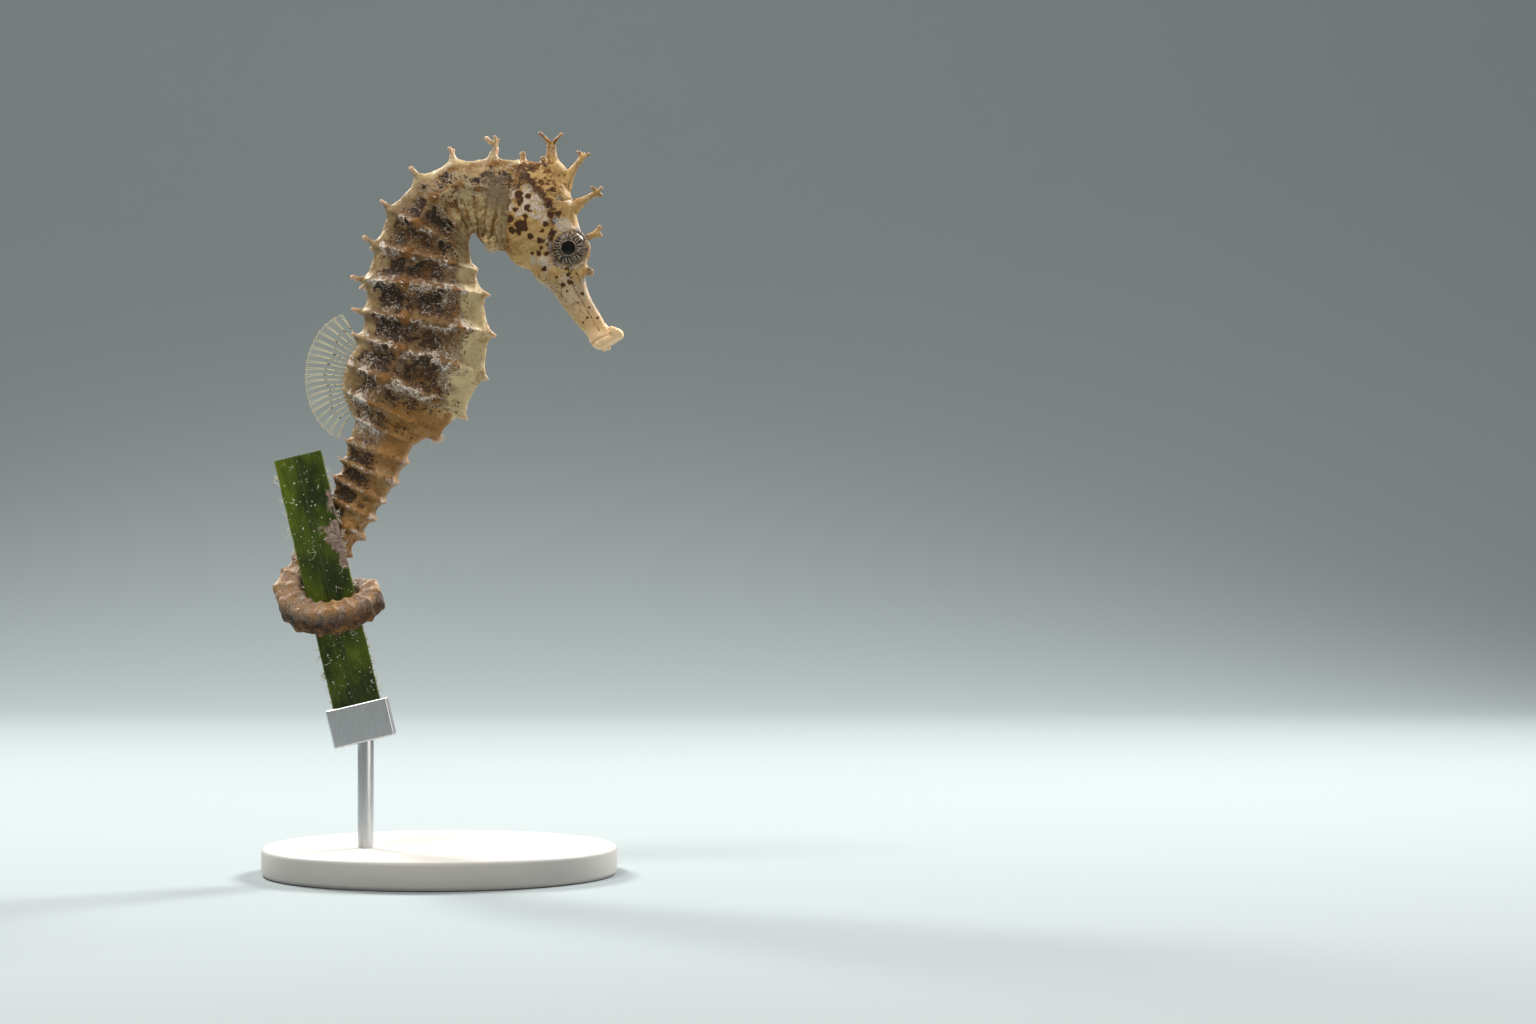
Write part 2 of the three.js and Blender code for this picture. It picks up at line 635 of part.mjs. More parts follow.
function clipSolid() {
  const length = STAND.clipAbove + STAND.clipBelow;
  const geometry = new THREE.BoxGeometry(STAND.clipWidth, STAND.clipDepth, length);
  geometry.translate(0, 0, (STAND.clipAbove - STAND.clipBelow) / 2);
  geometry.rotateY(Math.atan2(-BLADE_DOWN.x, -BLADE_DOWN.z));
  geometry.translate(BLADE.bottom[0], BLADE.y, BLADE.bottom[1]);
  return toSolid(geometry).subtract(bladeSolid(GAP)).subtract(rodSolid(GAP));
}

function baseSolid() {
  const { baseRadius, baseThickness, bevel } = STAND;
  const profile = [
    new THREE.Vector2(0, 0),
    new THREE.Vector2(baseRadius - bevel, 0),
    new THREE.Vector2(baseRadius, bevel),
    new THREE.Vector2(baseRadius, baseThickness - bevel),
    new THREE.Vector2(baseRadius - bevel, baseThickness),
    new THREE.Vector2(0, baseThickness),
  ];
  const geometry = new THREE.LatheGeometry(profile, 48);
  geometry.rotateX(Math.PI / 2);
  return toSolid(geometry).subtract(rodSolid(GAP));
}

// ---------------------------------------------------------------- assembly
const group = new THREE.Group();
group.name = "seahorse_on_seagrass";

function addPart(name, solid, color, roughness = 0.6, metalness = 0) {
  const mesh = solid.getMesh();
  const geometry = new THREE.BufferGeometry();
  geometry.setAttribute("position", new THREE.BufferAttribute(mesh.vertProperties, 3));
  geometry.setIndex(new THREE.BufferAttribute(mesh.triVerts, 1));
  geometry.computeVertexNormals();
  const material = new THREE.MeshStandardMaterial({ color, roughness, metalness });
  const part = new THREE.Mesh(geometry, material);
  part.name = name;
  group.add(part);
}

const SKIN = 0xb08a5e;
const FIN = 0xd9c9a4;
addPart("head", headPart(), SKIN);
addPart("snout", snoutPart(), 0xcbb08a);
addPart("coronet", coronetPart(), SKIN);
addPart("eye_left", eyeball(SIDE.left), 0x1a1612, 0.15);
addPart("eye_right", eyeball(SIDE.right), 0x1a1612, 0.15);
addPart("neck", trunkPart(0, NECK_END).add(throat()), SKIN);
addPart("chest", trunkPart(NECK_END, CHEST_END), SKIN);
addPart("trunk", trunkPart(CHEST_END, TRUNK_END), SKIN);
addPart("belly", trunkPart(TRUNK_END, LAST_RING), SKIN);
addPart("tail_base", tailSolid(0, TAIL_CUTS.base), SKIN);
addPart("tail_bend", tailSolid(TAIL_CUTS.base, TAIL_CUTS.bend), SKIN);
addPart("tail_coil_left", tailSolid(TAIL_CUTS.bend, TAIL_CUTS.left), SKIN);
addPart("tail_coil_front", tailSolid(TAIL_CUTS.left, TAIL_CUTS.front), SKIN);
addPart("tail_coil_right", tailSolid(TAIL_CUTS.front, TAIL_CUTS.right), SKIN);
addPart("tail_tip", tailSolid(TAIL_CUTS.right, LAST_STATION), SKIN);
addPart("dorsal_fin", dorsalFin(), FIN, 0.4);
addPart("pectoral_fin_left", pectoralFin(SIDE.left), FIN, 0.4);
addPart("pectoral_fin_right", pectoralFin(SIDE.right), FIN, 0.4);
addPart("anal_fin", analFin(), FIN, 0.4);

const grip = tailSolid(0, LAST_STATION, GAP);
addPart("seagrass_blade", bladeSolid().subtract(grip), 0x4d7a1e, 0.5);
addPart("stand_clip", clipSolid(), 0xb9bbbd, 0.35, 1);
addPart("stand_rod", rodSolid(), 0xb9bbbd, 0.3, 1);
addPart("stand_base", baseSolid(), 0xe8e4dc, 0.6);

export default group;
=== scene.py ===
import math

import bpy
import numpy as np
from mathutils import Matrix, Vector, kdtree


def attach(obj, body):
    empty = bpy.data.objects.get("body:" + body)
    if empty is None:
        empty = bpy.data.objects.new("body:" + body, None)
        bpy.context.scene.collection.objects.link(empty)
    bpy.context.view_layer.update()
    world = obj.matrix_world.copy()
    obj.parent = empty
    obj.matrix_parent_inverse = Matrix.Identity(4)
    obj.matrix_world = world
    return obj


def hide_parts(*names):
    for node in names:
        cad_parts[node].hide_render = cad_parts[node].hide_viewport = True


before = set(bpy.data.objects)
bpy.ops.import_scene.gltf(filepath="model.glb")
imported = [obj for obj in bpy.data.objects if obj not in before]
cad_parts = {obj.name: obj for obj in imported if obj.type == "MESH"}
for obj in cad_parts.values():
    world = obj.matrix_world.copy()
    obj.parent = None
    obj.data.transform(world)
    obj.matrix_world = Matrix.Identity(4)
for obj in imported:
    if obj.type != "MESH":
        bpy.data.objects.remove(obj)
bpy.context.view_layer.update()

MM = 0.001
RNG = np.random.default_rng(7)

# ---- body sizes (mm)
# Each trunk ring: x and z on the back, x and z on the belly, full width.
TRUNK_RINGS = [
    (13.9, 124.8, 11.3, 108.9, 9.1),    # behind the gill cover
    (9.4, 125.0, 8.0, 109.9, 9.2),      # neck
    (2.6, 124.3, 5.9, 112.1, 9.0),
    (-3.4, 121.5, 5.1, 110.6, 9.5),
    (-8.4, 115.9, 5.3, 108.4, 10.4),    # shoulders
    (-11.0, 109.7, 5.9, 105.7, 11.4),
    (-12.6, 103.7, 7.2, 101.4, 12.4),   # trunk
    (-12.9, 98.1, 8.3, 94.6, 13.0),
    (-13.9, 93.7, 7.2, 87.3, 13.0),
    (-16.2, 89.1, 3.8, 81.0, 12.2),     # dorsal fin base
    (-16.8, 84.5, -0.6, 77.0, 10.8),
    (-14.9, 79.7, -4.3, 74.9, 9.6),     # end of the trunk
]
LAST_RING = len(TRUNK_RINGS) - 1

# Tail stations: centre x, y and z, half depth, half width.
TAIL_STATIONS = [
    (-9.6, 0.0, 77.3, 5.8, 4.8),
    (-12.1, 0.0, 70.6, 5.1, 4.5),
    (-14.0, 0.0, 66.8, 4.6, 4.1),
    (-15.9, -0.1, 62.9, 3.9, 3.7),
    (-18.2, -0.5, 58.9, 3.2, 3.3),
    (-20.8, -0.9, 55.6, 2.7, 3.1),        # behind the blade
    (-23.3, -1.3, 53.0, 2.4, 2.9),
    (-25.2, -2.7, 50.7, 2.3, 2.8),
    (-25.6, -4.8, 48.6, 2.5, 2.8),        # round the left edge
    (-24.2, -6.9, 46.6, 2.5, 2.8),
    (-21.5, -8.1, 45.1, 2.3, 2.7),        # across the front
    (-17.5, -8.1, 45.1, 2.3, 2.7),
    (-13.9, -7.2, 46.2, 2.2, 2.5),
    (-11.6, -5.0, 47.9, 2.1, 2.3),        # round the right edge
    (-12.3, -2.7, 49.5, 1.8, 1.9),
    (-15.0, -1.7, 49.9, 1.4, 1.5),        # behind the blade again
    (-17.8, -1.8, 49.2, 1.0, 1.1),
    (-20.3, -2.0, 48.2, 0.5, 0.5),        # tip
]
TAIL_RING_COUNT = 22
TAIL_RING_CROWDING = 0.3
COIL_TILT = math.radians(35)

# Head and snout: x and z on top, x and z below, full width.
HEAD_STATIONS = [
    (14.0, 124.8, 11.4, 108.9, 9.6),    # rear edge of the gill cover
    (16.4, 124.6, 12.4, 107.5, 10.1),
    (19.4, 123.8, 13.7, 106.4, 10.0),
    (21.9, 121.2, 15.0, 105.9, 9.4),
    (23.3, 117.3, 15.8, 105.5, 8.4),    # forehead
    (24.4, 113.3, 16.5, 104.7, 7.8),    # above the eye
    (25.5, 109.7, 17.3, 103.6, 7.3),
    (25.7, 106.6, 18.5, 102.8, 6.2),
    (25.4, 104.1, 19.7, 101.7, 5.0),    # root of the snout
    (26.4, 100.7, 22.0, 98.6, 4.2),
    (27.8, 98.3, 24.0, 96.1, 3.8),
    (29.0, 96.3, 25.7, 94.2, 3.6),
    (30.2, 95.2, 26.4, 92.8, 3.9),
    (31.7, 95.0, 27.3, 91.9, 4.2),      # lips
    (32.2, 93.9, 28.6, 91.5, 3.6),
]
EYE_CENTRE = (22.7, 3.0, 109.2)
EYE_RADIUS = 3.1
EYE_HALF_DEPTH = 1.95
PUPIL_RADIUS = 1.22
ORBIT_RADIUS = 3.22
# Lips: radius, and their path from the left corner to the middle.
LIPS = [
    (1.0, [(29.6, -1.4, 94.9), (30.8, -1.0, 94.5), (31.2, 0, 94.3)]),
    (0.75, [(27.2, -1.2, 92.8), (28.4, -0.9, 92.4), (29.0, 0, 92.3)]),
]

# Half sections: (position from back 0 to belly 1, half width 0 to 1).
TRUNK_SECTION = [
    (0.03, 0.0), (0.02, 0.40), (0.16, 0.76), (0.36, 1.0), (0.57, 0.94),
    (0.77, 0.74), (0.91, 0.34), (1.0, 0.0),
]
TAIL_SECTION = [
    (0.06, 0.0), (0.03, 0.62), (0.20, 0.92), (0.42, 0.90), (0.60, 0.88),
    (0.82, 0.86), (0.96, 0.55), (0.95, 0.0),
]
SECTION_STEPS = 16          # samples between two section points
ROWS_PER_RING = 26

NAPE_RING = 1
# Back spines: ring number, tip (x, z), second prong (x, z) or None.
BACK_SPINES = [
    (1, (9.9, 128.6), (8.4, 128.3)),
    (2, (1.9, 126.7), None),
    (3, (-4.8, 123.2), None),
    (4, (-10.0, 117.5), None),
    (5, (-12.9, 111.1), (-12.0, 109.2)),
    (6, (-15.0, 104.2), (-13.7, 102.2)),
    (7, (-14.9, 98.6), None),
    (8, (-14.9, 94.3), None),
]
# Tail back spines: ring number, reach beyond the skin.
TAIL_SPINES = [(1.0, 0.8), (2.0, 0.8), (3.0, 0.7), (4.0, 0.5)]
# Belly spines: ring number, tip x and z.
KEEL_SPINES = [
    (5, 6.6, 105.8), (6, 8.7, 101.2), (7, 9.8, 94.1), (8, 8.4, 86.5),
    (9, 4.7, 79.4), (10, 0.1, 75.8),
]
# Forked head spines: root, crotch, tips of the prongs, radius at root and crotch.
CORONET_SPINES = [
    ((19.5, 0, 123.4), (19.5, 0, 127.3), [(17.6, 0, 129.5), (21.2, 0, 129.3)], 2.2, 0.85),
    ((21.3, 0, 120.6), (24.6, 0, 124.9),
     [(24.3, -0.2, 126.2), (26.0, 0.2, 125.9), (25.1, 0.6, 126.0)], 2.1, 0.55),
    ((22.6, 0, 116.3), (27.0, 0, 118.9),
     [(26.8, -0.3, 120.0), (28.1, 0.1, 119.9), (28.1, 0.3, 118.8)], 1.9, 0.55),
]
# Plain head spines in the mid-plane: root, tip, radius at root and tip.
MIDLINE_SPINES = [
    ((14.6, 0, 123.7), (14.5, 0, 125.9), 1.7, 0.42),
    ((24.5, 0, 106.2), (26.2, 0, 105.3), 1.35, 0.55),
]


# ---- number helpers
def spline(values, positions):
    """Smooth curve through numbered rows of values, read at fractional row numbers."""
    values = np.asarray(values, float)
    if values.ndim == 1:
        return spline(values[:, None], positions)[:, 0]
    positions = np.asarray(positions, float)
    last = len(values) - 1
    padded = np.vstack([2 * values[0] - values[1], values, 2 * values[-1] - values[-2]])
    index = np.clip(np.floor(positions).astype(int), 0, last - 1)
    t = (positions - index)[:, None]
    before, start, end, after = (padded[index + k] for k in range(4))
    slope_in = (end - before) / 2
    slope_out = (after - start) / 2
    cubic = 2 * start - 2 * end + slope_in + slope_out
    square = 3 * end - 3 * start - 2 * slope_in - slope_out
    return ((cubic * t + square) * t + slope_in) * t + start


def ramp(low, high, value):
    """0 at low and 1 at high, smooth between; low may be the greater."""
    t = np.clip((value - low) / (high - low), 0, 1)
    return t * t * (3 - 2 * t)


def band(value, low, high, soft):
    """1 between low and high, fading over soft at each end."""
    return ramp(low - soft, low + soft, value) * (
        1 - ramp(high - soft, high + soft, value))


def bell(distance, width):
    return np.exp(-(distance / width) ** 2)


def unit(vectors):
    return vectors / np.maximum(np.linalg.norm(vectors, axis=-1, keepdims=True), 1e-9)


def full_turn(count):
    return np.linspace(0, 2 * math.pi, count, endpoint=False)


def in_mid_plane(x, z):
    return np.column_stack([x, np.zeros(len(x)), z])


HASH_PRIMES = np.array([374761393, 668265263, 1274126177])
HASH_STIR = 1103515245
HASH_RANGE = 0xFFFF


def lattice_noise(points, size, seed=0):
    """Smooth random values from -1 to 1 at points, with features about size across."""
    place = np.asarray(points) / size + 31.7 * seed
    cell = np.floor(place).astype(np.int64)
    share = place - cell
    share = share * share * (3 - 2 * share)
    total = np.zeros(place.shape[:-1])
    for corner in range(8):
        step = np.array([corner & 1, (corner >> 1) & 1, (corner >> 2) & 1])
        key = (cell + step) @ HASH_PRIMES
        key = (key ^ (key >> 13)) * HASH_STIR
        key = (key ^ (key >> 16)) & HASH_RANGE
        weight = np.prod(np.where(step, share, 1 - share), axis=-1)
        total += weight * (key / (HASH_RANGE / 2) - 1)
    return total


# ---- mesh pieces
class Piece:
    """Points, faces and named values at each point that later steer relief and colour."""

    def __init__(self, points, faces, **fields):
        self.points = np.asarray(points, float)
        self.faces = faces
        self.fields = {name: np.zeros(len(points)) + values for name, values in fields.items()}


def joined(pieces):
    """All the pieces as one; a field that a piece doesn't have is 0 on it."""
    faces = []
    start = 0
    for piece in pieces:
        faces += [tuple(index + start for index in face) for face in piece.faces]
        start += len(piece.points)
    fields = {}
    for name in sorted({name for piece in pieces for name in piece.fields}):
        fields[name] = np.concatenate([
            piece.fields.get(name, np.zeros(len(piece.points))) for piece in pieces])
    return Piece(np.vstack([piece.points for piece in pieces]), faces, **fields)


def tube_faces(rows, columns):
    """Quads and end fans of a closed tube whose two end points are the last vertices."""
    pairs = [(column, (column + 1) % columns) for column in range(columns)]
    starts = [row * columns for row in range(rows)]
    faces = [(low + a, low + b, high + b, high + a)
             for low, high in zip(starts, starts[1:]) for a, b in pairs]
    first_end = rows * columns
    for a, b in pairs:
        faces.append((first_end, b, a))
        faces.append((first_end + 1, starts[-1] + a, starts[-1] + b))
    return faces


def facing_out(points, faces):
    """The same faces, turned round if they enclose a negative volume."""
    corners = points[np.array([face[:3] for face in faces])] - points.mean(0)
    a, b, c = corners[:, 0], corners[:, 1], corners[:, 2]
    volume = np.sum(np.cross(a, b) * c)
    return faces if volume > 0 else [face[::-1] for face in faces]


def skin_of_rows(grid, **fields):
    """Closed piece from a (rows x columns x 3) grid of points."""
    rows, columns = grid.shape[:2]
    points = np.vstack([grid.reshape(-1, 3), grid[0].mean(0), grid[-1].mean(0)])
    full = {}
    for name, value in fields.items():
        value = np.broadcast_to(value, (rows, columns))
        ends = [value[0].mean(), value[-1].mean()]
        full[name] = np.concatenate([value.reshape(-1), ends])
    faces = facing_out(points, tube_faces(rows, columns))
    return Piece(points, faces, **full)


def bent_tube(path, radii, sides=16, **fields):
    """Round tube along a path, with its far end rounded off."""
    path = np.asarray(path, float)
    tangent = unit(np.gradient(path, axis=0))
    guide = np.array([0.0, 1.0, 0.0])
    if abs(tangent[0] @ guide) > 0.9:
        guide = np.array([1.0, 0.0, 0.0])
    angles = full_turn(sides)
    rows = []
    for place, forward, radius in zip(path, tangent, radii):
        guide = unit(guide - (guide @ forward) * forward)
        other = np.cross(forward, guide)
        ring = np.outer(np.cos(angles), guide) + np.outer(np.sin(angles), other)
        rows.append(place + ring * radius)
    tip_ring = path[-1] + (rows[-1] - path[-1]) * 0.6 + tangent[-1] * radii[-1] * 0.8
    piece = skin_of_rows(np.array(rows + [tip_ring]), **fields)
    piece.points[-1] += tangent[-1] * radii[-1] * 0.2
    return piece


def curve_through(points, steps):
    points = np.asarray(points, float)
    return spline(points, np.linspace(0, len(points) - 1, steps))


def ball(centre, radius, seed=0, lumps=0.0, **fields):
    """Slightly lumpy knob."""
    polar = np.linspace(0.25, math.pi - 0.25, 7)[:, None]
    around = full_turn(12)
    grid = np.stack([np.sin(polar) * np.cos(around), np.sin(polar) * np.sin(around),
                     np.cos(polar) * np.ones(12)], axis=-1)
    bumps = lattice_noise(grid * 1.7, 1.0, seed)[..., None]
    return skin_of_rows(np.asarray(centre) + grid * radius * (1 + lumps * bumps), **fields)


# ---- body surface
def closed_outline(half):
    return half + [(u, -v) for u, v in half[-2:0:-1]]


def outline_samples(weight):
    """Smooth closed section, a blend of the trunk's (0) and the tail's (1)."""
    trunk = np.array(closed_outline(TRUNK_SECTION))
    tail = np.array(closed_outline(TAIL_SECTION))
    corners = trunk * (1 - weight) + tail * weight
    wrapped = np.vstack([corners[-2:], corners, corners[:3]])
    positions = np.arange(len(corners) * SECTION_STEPS) / SECTION_STEPS + 2
    return spline(wrapped, positions)


def body_sections(tail_weights):
    """Place back to belly and half width of each sample, one row for each weight."""
    return np.moveaxis(np.array([outline_samples(weight) for weight in tail_weights]), -1, 0)


def body_grid(frames, u, v, height):
    """Grid of body skin: sections laid on their frames, then pushed outwards by height."""
    centre, to_back, to_side, deep, wide = frames
    back = (1 - 2 * u) * deep[:, None]
    side = v * wide[:, None]
    length = np.maximum(np.hypot(back, side), 1e-6)
    back = back + back / length * height
    side = side + side / length * height
    return (centre[:, None] + back[..., None] * to_back[:, None]
            + side[..., None] * to_side[:, None])


def trunk_frames(ring):
    """Centres, directions to back and side, half depths and half widths at ring numbers."""
    rows = spline(TRUNK_RINGS, ring)
    back, belly = rows[:, 0:2], rows[:, 2:4]
    middle = (back + belly) / 2
    depth = np.linalg.norm(back - belly, axis=1)
    span = (back - belly) / depth[:, None]
    to_side = np.tile([0.0, 1.0, 0.0], (len(ring), 1))
    return in_mid_plane(*middle.T), in_mid_plane(*span.T), to_side, depth / 2, rows[:, 4] / 2


KNOB_SIZE_BY_RING = [0, 0.2, 0.4, 0.65, 0.8, 0.9, 0.95, 0.9, 0.85, 0.65, 0.45, 0]
RIDGE_BY_RING = [0.0, 0.25, 0.4, 0.6, 0.8, 1, 1, 1, 1, 0.9, 0.8, 0.6]
UPPER_ROW, LOWER_ROW = 0.36, 0.77    # where the knobs sit, back 0 to belly 1
SIDE_KNOBS = ((UPPER_ROW, 1.05, 1.45), (LOWER_ROW, 0.70, 1.15))     # place, height, radius
RING_SPACING = 5.4
LINE_WIDTH, WEB_WIDTH = 0.085, 0.24         # of a ridge and of the rise round it, in rings
# Knobs at the tail's corners: place back to belly, place out to the side, height.
TAIL_KNOBS = ((0.10, 0.80, 1.0), (0.90, 0.72, 0.75))
SPINE_FLARE = 0.95                  # how far the skin rises to meet each back spine
KEEL_FLARE = 0.75
FIN_RIBS_PER_RING = 8.5


def dome_shape(distance, radius):
    return np.clip(1 - (distance / radius) ** 2, 0, 1) ** 1.5


def trunk_piece():
    """Trunk and neck, with a ridge at each ring, hollows between and knobs along two rows."""
    rows = int((LAST_RING + 0.55) * ROWS_PER_RING)
    numbers = np.linspace(-0.3, LAST_RING + 0.25, rows)
    frames = trunk_frames(numbers)
    u, v = body_sections(ramp(9.6, 11.0, numbers))
    ring = numbers[:, None]
    nearest = np.clip(np.round(ring), 0, LAST_RING).astype(int)
    away = ring - nearest
    line, web = bell(away, LINE_WIDTH), bell(away, WEB_WIDTH)
    ridge_size = spline(RIDGE_BY_RING, np.clip(numbers, 0, LAST_RING))[:, None]
    knob_size = np.array(KNOB_SIZE_BY_RING)[nearest]
    has_spine = np.isin(nearest, [spine[0] for spine in BACK_SPINES])
    has_keel = np.isin(nearest, [spine[0] for spine in KEEL_SPINES])
    fin_base = ramp(8.2, 8.6, ring) * (1 - ramp(10.4, 10.7, ring))

    knob = np.zeros(u.shape)
    for place, height, radius in SIDE_KNOBS:
        distance = np.hypot(away * RING_SPACING, (u - place) * 2 * frames[3][:, None])
        knob += height * knob_size * dome_shape(distance, radius)

    back, keel = ramp(0.15, 0.05, u), ramp(0.90, 0.97, u)
    beads = 0.8 + 0.2 * np.sin(u * 75 + nearest * 2.3 + np.sign(v))
    ridge = ridge_size * (0.55 * line * beads + 0.34 * web)
    seam = bell(u - UPPER_ROW, 0.045) + bell(u - LOWER_ROW, 0.05)
    hollow = -0.85 * knob_size * (1 - web) * np.clip(1 - seam, 0, 1)
    height = (1 - back) * (1 - keel) * (ridge + hollow + 0.16 * knob_size * seam)
    pair = bell(np.abs(v) - 0.40, 0.22)
    height += back * has_spine * SPINE_FLARE * web ** 1.5 * (0.25 + 0.75 * pair)
    height += back * 0.30 * line
    height += keel * has_keel * KEEL_FLARE * web ** 1.5
    ribs = 0.16 * np.cos(ring * 2 * math.pi * FIN_RIBS_PER_RING)
    fin_strip = bell(np.abs(v), 0.18) * ramp(0.12, 0.05, u)
    height += fin_base * fin_strip * (0.45 + ribs)
    ends = 0.35 * (ring < 0) + 0.5 * (ring > LAST_RING + 0.02)
    grid = body_grid(frames, u, v, height + knob - ends)
    return skin_of_rows(grid, ring=ring, girth=u, side=v, knob=knob)


def blade_axis():
    down = np.array([BLADE_BOTTOM[0] - BLADE_TOP[0], 0.0, BLADE_BOTTOM[1] - BLADE_TOP[1]])
    return down / np.linalg.norm(down)


def tail_frames(station):
    """The same as trunk_frames for the tail, turned to the coil's own axis further down."""
    rows = spline(TAIL_STATIONS, station)
    ahead, behind = (spline(TAIL_STATIONS, station + shift)[:, :3] for shift in (0.02, -0.02))
    forward = unit(ahead - behind)
    coil_axis = blade_axis() * math.cos(COIL_TILT) + np.array([0, math.sin(COIL_TILT), 0])
    straight = unit(np.cross([0.0, 1.0, 0.0], forward))
    coiled = unit(np.cross(coil_axis, forward))
    weight = ramp(2.0, 5.5, station)[:, None]
    to_back = straight * (1 - weight) + coiled * weight
    to_back -= forward * np.sum(to_back * forward, axis=1, keepdims=True)
    to_back = unit(to_back)
    return rows[:, :3], to_back, np.cross(forward, to_back), rows[:, 3], rows[:, 4]


def tail_stations_of_rings(rings):
    """Station numbers of ring numbers; rings are counted by length along the tail."""
    fine = np.linspace(0, len(TAIL_STATIONS) - 1, 3000)
    steps = np.linalg.norm(np.diff(spline(TAIL_STATIONS, fine)[:, :3], axis=0), axis=1)
    length = np.concatenate([[0], np.cumsum(steps)])
    share = rings / TAIL_RING_COUNT
    travelled = share * (1 + TAIL_RING_CROWDING) - TAIL_RING_CROWDING * share ** 2
    return np.interp(np.clip(travelled, 0, 1) * length[-1], length, fine)


def tail_piece():
    """Four-sided tail with a ridge at each ring and knobs at its corners."""
    rows = int(TAIL_RING_COUNT * ROWS_PER_RING * 0.75)
    numbers = np.linspace(0.0, TAIL_RING_COUNT, rows)
    frames = tail_frames(tail_stations_of_rings(numbers))
    deep, wide = frames[3][:, None], frames[4][:, None]
    u, v = body_sections(np.ones(rows))
    ring = numbers[:, None]
    away = ring - np.round(ring)
    line = bell(away, 0.19) * (ring > 0.4) * (ring < TAIL_RING_COUNT - 0.6)
    slender = np.clip(deep / 3.5, 0.3, 1.0)
    coil = ramp(7.0, 9.0, ring)
    spacing = 3.4 - 1.6 * ring / TAIL_RING_COUNT

    knob = np.zeros(u.shape)
    for place, out, height in TAIL_KNOBS:
        around = np.hypot((u - place) * (2 * deep), (np.abs(v) - out) * wide)
        distance = np.hypot(away * spacing, around)
        knob += height * slender * bell(distance, 0.62 * slender ** 0.5)
    knob = knob * (ring > 0.5) * (1 - 0.65 * coil)

    groove = 0.8 + 0.2 * np.sin(u * 40 + np.round(ring) * 1.7)
    ridge = (0.58 - 0.22 * coil) * slender * line * groove
    ridge = ridge + 0.14 * coil * np.sin(u * 23 + ring * 9) * (1 - np.abs(v))
    hollow = -0.26 * (1 - 0.6 * coil) * slender * (1 - line)
    grid = body_grid(frames, u, v, ridge + hollow + knob)
    return skin_of_rows(grid, ring=LAST_RING + ring, girth=u, side=v, knob=knob,
                        tail=ramp(-1, 2, ring))


# ---- head surface
def head_piece():
    """Head and snout as one tube of slightly squared sections."""
    rows, columns = ((210, 150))
    numbers = np.linspace(0, len(HEAD_STATIONS) - 1, rows)
    top_x, top_z, bottom_x, bottom_z, width = spline(HEAD_STATIONS, numbers).T[..., None]
    position = numbers[:, None]
    angle = full_turn(columns)
    squareness = 0.92 + 0.08 * ramp(6, 9, position)
    close = 1 - 0.55 * ramp(13.3, 14, position) ** 2
    close *= 1 - 0.05 * ramp(0.25, 0, position)

    def rounded(wave):
        return np.sign(wave) * np.abs(wave) ** squareness * close

    up, across = rounded(np.cos(angle)), rounded(np.sin(angle))
    grid = np.stack([(top_x + bottom_x) / 2 + (top_x - bottom_x) / 2 * up,
                     width / 2 * across,
                     (top_z + bottom_z) / 2 + (top_z - bottom_z) / 2 * up], axis=-1)
    return skin_of_rows(grid, ring=-position - 0.01, girth=(1 - np.cos(angle)) / 2,
                        side=np.sin(angle), head=1.0)


def spine_tube(points, radii, steps=18, **fields):
    """Spine through a few points, with its width given at each of them."""
    path = curve_through(points, steps)
    width = spline(radii, np.linspace(0, len(radii) - 1, steps))
    tip = np.linspace(0, 1, steps + 1)[:, None]
    return bent_tube(path, np.maximum(width, 0.16), tip=tip, **fields)


def stem(root, end, radii, **fields):
    """Flared stem of a spine; radii are those at its root, two places between and its end."""
    low, high = root * 0.7 + end * 0.3, root * 0.35 + end * 0.65
    return spine_tube([root, low, high, end], radii, **fields)


def forked_spine(root, crotch, tips, root_radius, neck_radius, **fields):
    """Flared stem that divides into prongs, each with a small lumpy end."""
    root, crotch = np.array(root), np.array(crotch)
    radii = [root_radius, (root_radius + neck_radius) * 0.48, neck_radius * 1.12, neck_radius]
    pieces = [stem(root, crotch, radii, **fields)]
    for number, end in enumerate(np.array(tips)):
        bend = (crotch + end) / 2 + (crotch - root) * 0.06
        pieces.append(spine_tube([crotch, bend, end], [neck_radius * 0.8, 0.3, 0.25],
                                 steps=12, **fields))
        pieces.append(ball(end, 0.40, seed=number, lumps=0.35, tip=1.0, **fields))
    return pieces


def plain_spine(root, end, root_radius, tip_radius=0.30, **fields):
    radii = [root_radius, root_radius * 0.55, tip_radius * 1.3, tip_radius]
    return [stem(np.array(root), np.array(end), radii, **fields),
            ball(end, tip_radius * 1.35, seed=3, lumps=0.3, tip=1.0, **fields)]


def coronet_pieces():
    """The crown on its pedestal and the spines of forehead, brow, snout and nape."""
    head = {"head": 1.0, "ring": -2.5, "girth": 0.0}
    pedestal = curve_through([(17.2, 0, 122.6), (19.5, 0, 123.1), (21.4, 0, 121.0)], 16)
    pieces = [bent_tube(pedestal, 1.2 + 0.9 * np.sin(np.linspace(0.5, 2.6, 16)), **head)]
    for spine in CORONET_SPINES:
        pieces += forked_spine(*spine, **head)
    for spine in MIDLINE_SPINES:
        pieces += plain_spine(*spine, **head)
    for side in (-1, 1):
        pieces += forked_spine((24.0, 1.3 * side, 110.7), (26.7, 1.8 * side, 111.7),
                               [(28.0, 1.8 * side, 113.0), (28.0, 2.1 * side, 111.8)],
                               1.1, 0.42, **head)
        pieces += plain_spine((18.6, 1.8 * side, 122.6), (18.2, 3.0 * side, 124.9),
                              1.5, 0.36, **head)
    return pieces


def frame_at(frames, position):
    """One row of trunk_frames or tail_frames."""
    return [values[0] for values in frames(np.array([float(position)]))]


